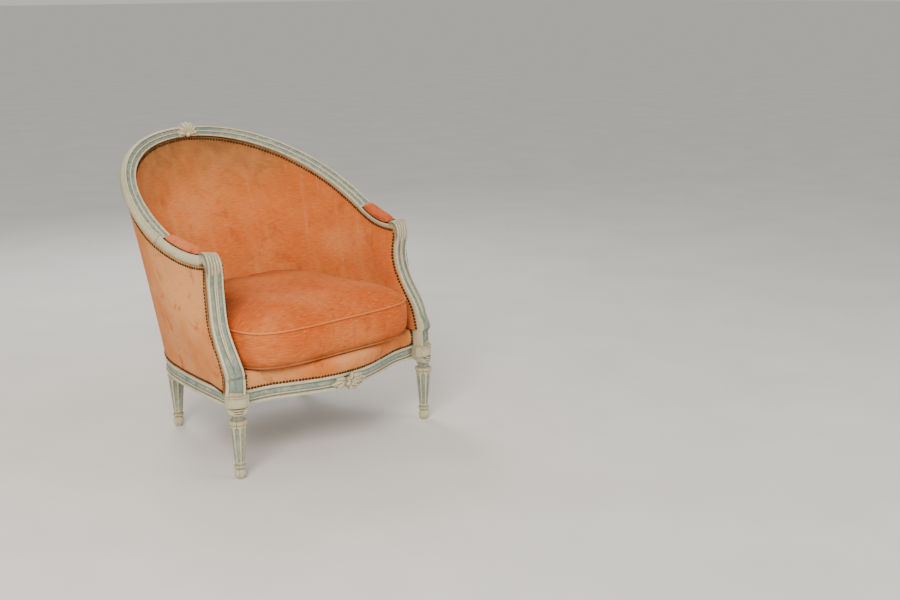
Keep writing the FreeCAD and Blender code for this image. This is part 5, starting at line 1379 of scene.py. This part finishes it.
def cushion_rings():
    """Rings from the flat base over the boxing to the crown."""
    steps = [(CUSHION_LOW, 160, 0), (CUSHION_LOW, 90, 0), (CUSHION_LOW, 30, 0), (CUSHION_LOW + 1.0, 12, 0),
             (SEAM_LOW - 3.0, 3, 0), (SEAM_LOW, 0, 0)]
    for share in np.linspace(0.08, 0.92, 10):
        steps.append((blend(SEAM_LOW, SEAM_HIGH, share), -4.0 * np.sin(np.pi * share), CUSHION_LEAN * share))
    steps.append((SEAM_HIGH, 0, CUSHION_LEAN))
    for share in (0.05, 0.10, 0.16, 0.24, 0.32, 0.41, 0.50, 0.59, 0.67, 0.75, 0.82, 0.88, 0.93, 0.97, 0.99):
        inset = CUSHION_HALF * (1 - math.sqrt(1 - share ** 1.6))
        steps.append((SEAM_HIGH + CUSHION_CROWN * share, inset, CUSHION_LEAN))
    return np.array([cushion_ring(inset, z, lean) for z, inset, lean in steps])


def cushion_marks(points):
    """Where each point of the cushion's cloth lies on it, and how dark it is painted, by soil and by painted
    shade.

    On the top, metres across and forwards; on the boxing, metres round it and up.
    """
    x, y, z = points[:, 0], points[:, 1], points[:, 2]
    turn = np.arctan2((y - CUSHION_MIDDLE) / 270.0, x / CUSHION_HALF)
    boxing = z < SEAM_HIGH - 1.0
    lay = np.stack([np.where(boxing, turn * 0.29, x / 1000), np.where(boxing, z, y * 0.8) / 1000, 0 * x], -1)
    # Painted shade with some soil: darker to the rear (shade and dirt), near the arms where they shade the top,
    # over the left rear where the arm's shadow falls, and round the foot of the boxing as shade under the
    # cushion
    rear = smooth(300.0, 470.0, y) * 0.6
    near_arm = smooth(150.0, 270.0, np.abs(x)) * smooth(60.0, 240.0, y) * 0.55
    shaded = smooth(-40.0, -240.0, x) * smooth(60.0, 300.0, y) * 0.5
    foot = smooth(SEAM_LOW + 22, SEAM_LOW, z) * 0.35
    return lay, clamp((z > SEAM_HIGH) * (rear + near_arm + shaded) + foot)


def cushion():
    """Boxed cushion with a high crown; its cloth is filled by simulation, and its seams stay put."""
    body = Skin().grid(cushion_rings()).make("cushion_cover", VELVET_CUSHION, "velvet_cushion", CUSHION_BODY,
                                             ["cushion_cover", "cushion_filling"], 180.0)
    fill_cushion(body)
    points = mesh_points(body) * 1000.0 - SHIFT
    points = points + cushion_dents(points)
    lay, soil_and_shade = cushion_marks(points)
    write_mark(body.data, "lay", "FLOAT_VECTOR", "vector", lay)
    write_mark(body.data, "grime", "FLOAT", "value", soil_and_shade)
    move_points(body, placed(points))
    body.data.shade_smooth()


def write_mark(mesh, name, kind, field, values):
    """Point attribute of a mesh, made if it has none by that name."""
    layer = mesh.attributes.get(name) or mesh.attributes.new(name, kind, "POINT")
    layer.data.foreach_set(field, np.asarray(values, np.float32).ravel())


def mesh_points(piece):
    """Points of a piece's mesh, in metres."""
    flat = np.zeros(len(piece.data.vertices) * 3, np.float32)
    piece.data.vertices.foreach_get("co", flat)
    return flat.reshape(-1, 3).astype(float)


def move_points(piece, points):
    """Moves the points of a piece's mesh, in metres."""
    piece.data.vertices.foreach_set("co", points.astype(np.float32).ravel())
    piece.data.update()


def cushion_dents(points):
    """Slow hollows of a sat-on feather cushion and soft folds that run in from its rear corners.

    One round hollow where a sitter sits, two sets of slanting waves, one at each rear corner, and
    level ripples towards the back.
    """
    x, y, z = points[:, 0], points[:, 1], points[:, 2]
    sat = 5.0 * np.exp(-((x - 20) / 150) ** 2 - ((y - 190) / 130) ** 2)
    left = 2.6 * np.sin(0.060 * x + 0.046 * y + 1.1 * np.sin(0.02 * y))
    right = 2.0 * np.sin(0.055 * x - 0.05 * y)
    folds = left * smooth(-60, -240, x) * smooth(200, 380, y)
    folds = folds + right * smooth(90, 250, x) * smooth(240, 420, y)
    ripples = np.sin(0.045 * y + 0.8 * np.sin(0.012 * x)) * smooth(100, 300, y)
    lift = smooth(SEAM_HIGH + 2, SEAM_HIGH + 22, z) * (-sat + folds + ripples)
    return np.stack([0 * x, 0 * x, lift], -1)


def fill_cushion(body):
    """Swells the cushion under pressure, with its base and seams held and every point kept near home."""
    steps, cloth_size, farthest, seam_reach = 20, 0.0062, 0.011, 9.0
    bpy.context.view_layer.objects.active = body
    remesh = body.modifiers.new("even_cloth", "REMESH")
    remesh.mode = "VOXEL"
    remesh.voxel_size = cloth_size
    apply_modifiers(body)
    start = mesh_points(body)
    level = (start * 1000.0 - SHIFT)[:, 2]
    near_seam = np.minimum(np.abs(level - SEAM_LOW), np.abs(level - SEAM_HIGH))
    hold = np.where(level < CUSHION_LOW + 2.5, 1.0, np.clip(1.15 - near_seam / seam_reach, 0.0, 1.0))
    group = body.vertex_groups.new(name="held")
    for amount in (0.25, 0.5, 0.75, 1.0):
        chosen = np.nonzero((hold > amount - 0.25) & (hold <= amount))[0]
        group.add(chosen.tolist(), amount, "REPLACE")
    cloth = body.modifiers.new("filling", "CLOTH")
    choices = {"vertex_group_mass": "held", "use_pressure": True, "uniform_pressure_force": 4.0, "quality": 5,
               "tension_stiffness": 12, "compression_stiffness": 12, "shear_stiffness": 4,
               "bending_stiffness": 0.3, "shrink_min": -0.022}
    for key, value in choices.items():
        setattr(cloth.settings, key, value)
    cloth.settings.effector_weights.gravity = 0.0
    cloth.collision_settings.use_collision = False
    cloth.point_cache.frame_start, cloth.point_cache.frame_end = 1, steps
    for step in range(1, steps + 1):
        bpy.context.scene.frame_set(step)
    apply_modifiers(body)
    bpy.context.scene.frame_set(1)
    moved = mesh_points(body) - start
    length = np.linalg.norm(moved, axis=1, keepdims=True)
    settled = start + moved * np.minimum(1.0, farthest / np.maximum(length, 1e-9))
    settled[:, 2] = np.maximum(settled[:, 2], (CUSHION_LOW + 0.05) / 1000.0)
    move_points(body, settled)
    body.vertex_groups.clear()
    body.modifiers.new("finer", "SUBSURF").levels = 1
    body.modifiers["finer"].render_levels = 1


def apply_modifiers(piece):
    """Puts what the piece's modifiers make into its mesh and takes them off."""
    graph = bpy.context.evaluated_depsgraph_get()
    mesh = bpy.data.meshes.new_from_object(piece.evaluated_get(graph))
    old = piece.data
    materials = list(old.materials)
    piece.modifiers.clear()
    piece.data = mesh
    mesh.materials.clear()
    for material in materials:
        mesh.materials.append(material)
    bpy.data.meshes.remove(old)


def piping(name, height, lean, soil_and_shade):
    """Round cord sewn into a seam, with the faint pinch of its stitches: a circle swept round it."""
    ring = cushion_ring(-1.4, height, lean, 420)
    out = level_normal(unit(np.roll(ring, -1, 0) - np.roll(ring, 1, 0)))
    turn = np.linspace(0, 2 * np.pi, 13)[None, :-1]
    way = np.cumsum(np.linalg.norm(np.roll(ring, -1, 0) - ring, axis=1))[:, None]
    radius = CORD_RADIUS + 0.12 * np.sin(way * 2 * np.pi / 11.0)
    points = ring[:, None] + out[:, None] * (radius * np.cos(turn))[..., None] \
        + UP * (radius * np.sin(turn))[..., None]
    lay = np.stack([way + 0 * turn, 8 * turn + 0 * way, 0 * turn * way], -1) / 1000
    Skin().grid(points, wrap_rows=True, lay=lay, grime=soil_and_shade).make(
        name, CORD_VELVET, "velvet_piping", CUSHION_BODY, [name])


# Carried-over parts of the frame

def repaint():
    """Materials for the joinery that keeps its shape from the part."""
    finishes = {"corner_block": BEECH, "tack_rail": BEECH, "crest_dowels": BIRCH, "arm_dowels": BIRCH,
                "corner_screws": STEEL}
    for name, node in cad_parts.items():
        for start, material in finishes.items():
            if name.startswith(start):
                for slot in node.material_slots:
                    slot.material = material


# Studio

def stand(name, data, *columns):
    """Puts an object into the scene; the columns are where its own X, Y and Z point, and its place."""
    holder = bpy.data.objects.new(name, data)
    holder.matrix_world = Matrix(np.vstack([np.column_stack(columns), [0.0, 0.0, 0.0, 1.0]]).tolist())
    bpy.context.scene.collection.objects.link(holder)
    return holder


def studio():
    """Camera where the photograph was taken from, a pale floor and soft lights."""
    camera = bpy.data.cameras.new("camera")
    camera.lens = 50.0
    camera.sensor_width = 36.0
    camera.clip_end = 300.0
    ahead = np.array([0.67787, 0.69353, -0.24394])
    right, up = np.array([0.7151, -0.6990, 0.0]), np.array([0.1705, 0.1745, 0.9698])
    roll = math.radians(0.32)
    across = right * math.cos(roll) - up * math.sin(roll)
    rise = up * math.cos(roll) + right * math.sin(roll)
    bpy.context.scene.camera = stand("camera", camera, across, rise, -ahead, (-2.16659, -3.01378, 1.30208))

    size = 90.0
    mesh = bpy.data.meshes.new("studio_floor")
    corners = [(-size, -size, 0), (size, -size, 0), (size, size, 0), (-size, size, 0)]
    mesh.from_pydata(corners, [], [(0, 1, 2, 3)])
    mesh.materials.append(studio_paper())
    floor = bpy.data.objects.new("studio_floor", mesh)
    bpy.context.scene.collection.objects.link(floor)

    world = bpy.data.worlds.new("studio_room")
    world.use_nodes = True
    sky = world.node_tree.nodes["Background"]
    sky.inputs[0].default_value = colour("#E9E7E3")
    sky.inputs[1].default_value = 0.75
    bpy.context.scene.world = world
    softbox("key_softbox", (-2.3, -2.0, 2.5), (0, 0, 0.5), 1.5, 120.0, "#FFF6EA")
    softbox("fill_softbox", (1.9, -2.9, 1.6), (0, 0, 0.4), 1.8, 30.0, "#FBFBFF")
    softbox("back_softbox", (0.8, 2.4, 2.3), (0, 0, 0.6), 1.4, 45.0, "#FFFFFF")


def softbox(name, place, aim, size, watts, tint):
    """Square softbox at a place, turned to face a point."""
    data = bpy.data.lights.new(name, "AREA")
    data.size = size
    data.energy = watts
    data.color = colour(tint)[:3]
    back = unit(np.array(place, float) - np.array(aim, float))
    side = unit(np.cross(UP, back))
    stand(name, data, side, np.cross(back, side), back, place)


studio()
for hand, word in ((1, "right"), (-1, "left")):
    arm_rail(hand, "arm_rail_" + word)
    arm_support(hand, "arm_support_" + word)
    front_leg(hand, "front_leg_" + word)
    rear_leg(hand, "rear_leg_" + word)
crest_rail()
seat_rails()
inside_cover()
outside_covers()
deck()
seat_band()
arm_pads()
cover_nails()
pad_nails()
straps()
hessian()
cushion()
# The low cord's heavy share of darkening is painted shade under the cushion's edge; the top cord keeps the pale
# piping colour as its painted highlight
piping("cushion_piping_low", SEAM_LOW, 0.0, 0.75)
piping("cushion_piping_high", SEAM_HIGH, CUSHION_LEAN, 0.12)
repaint()
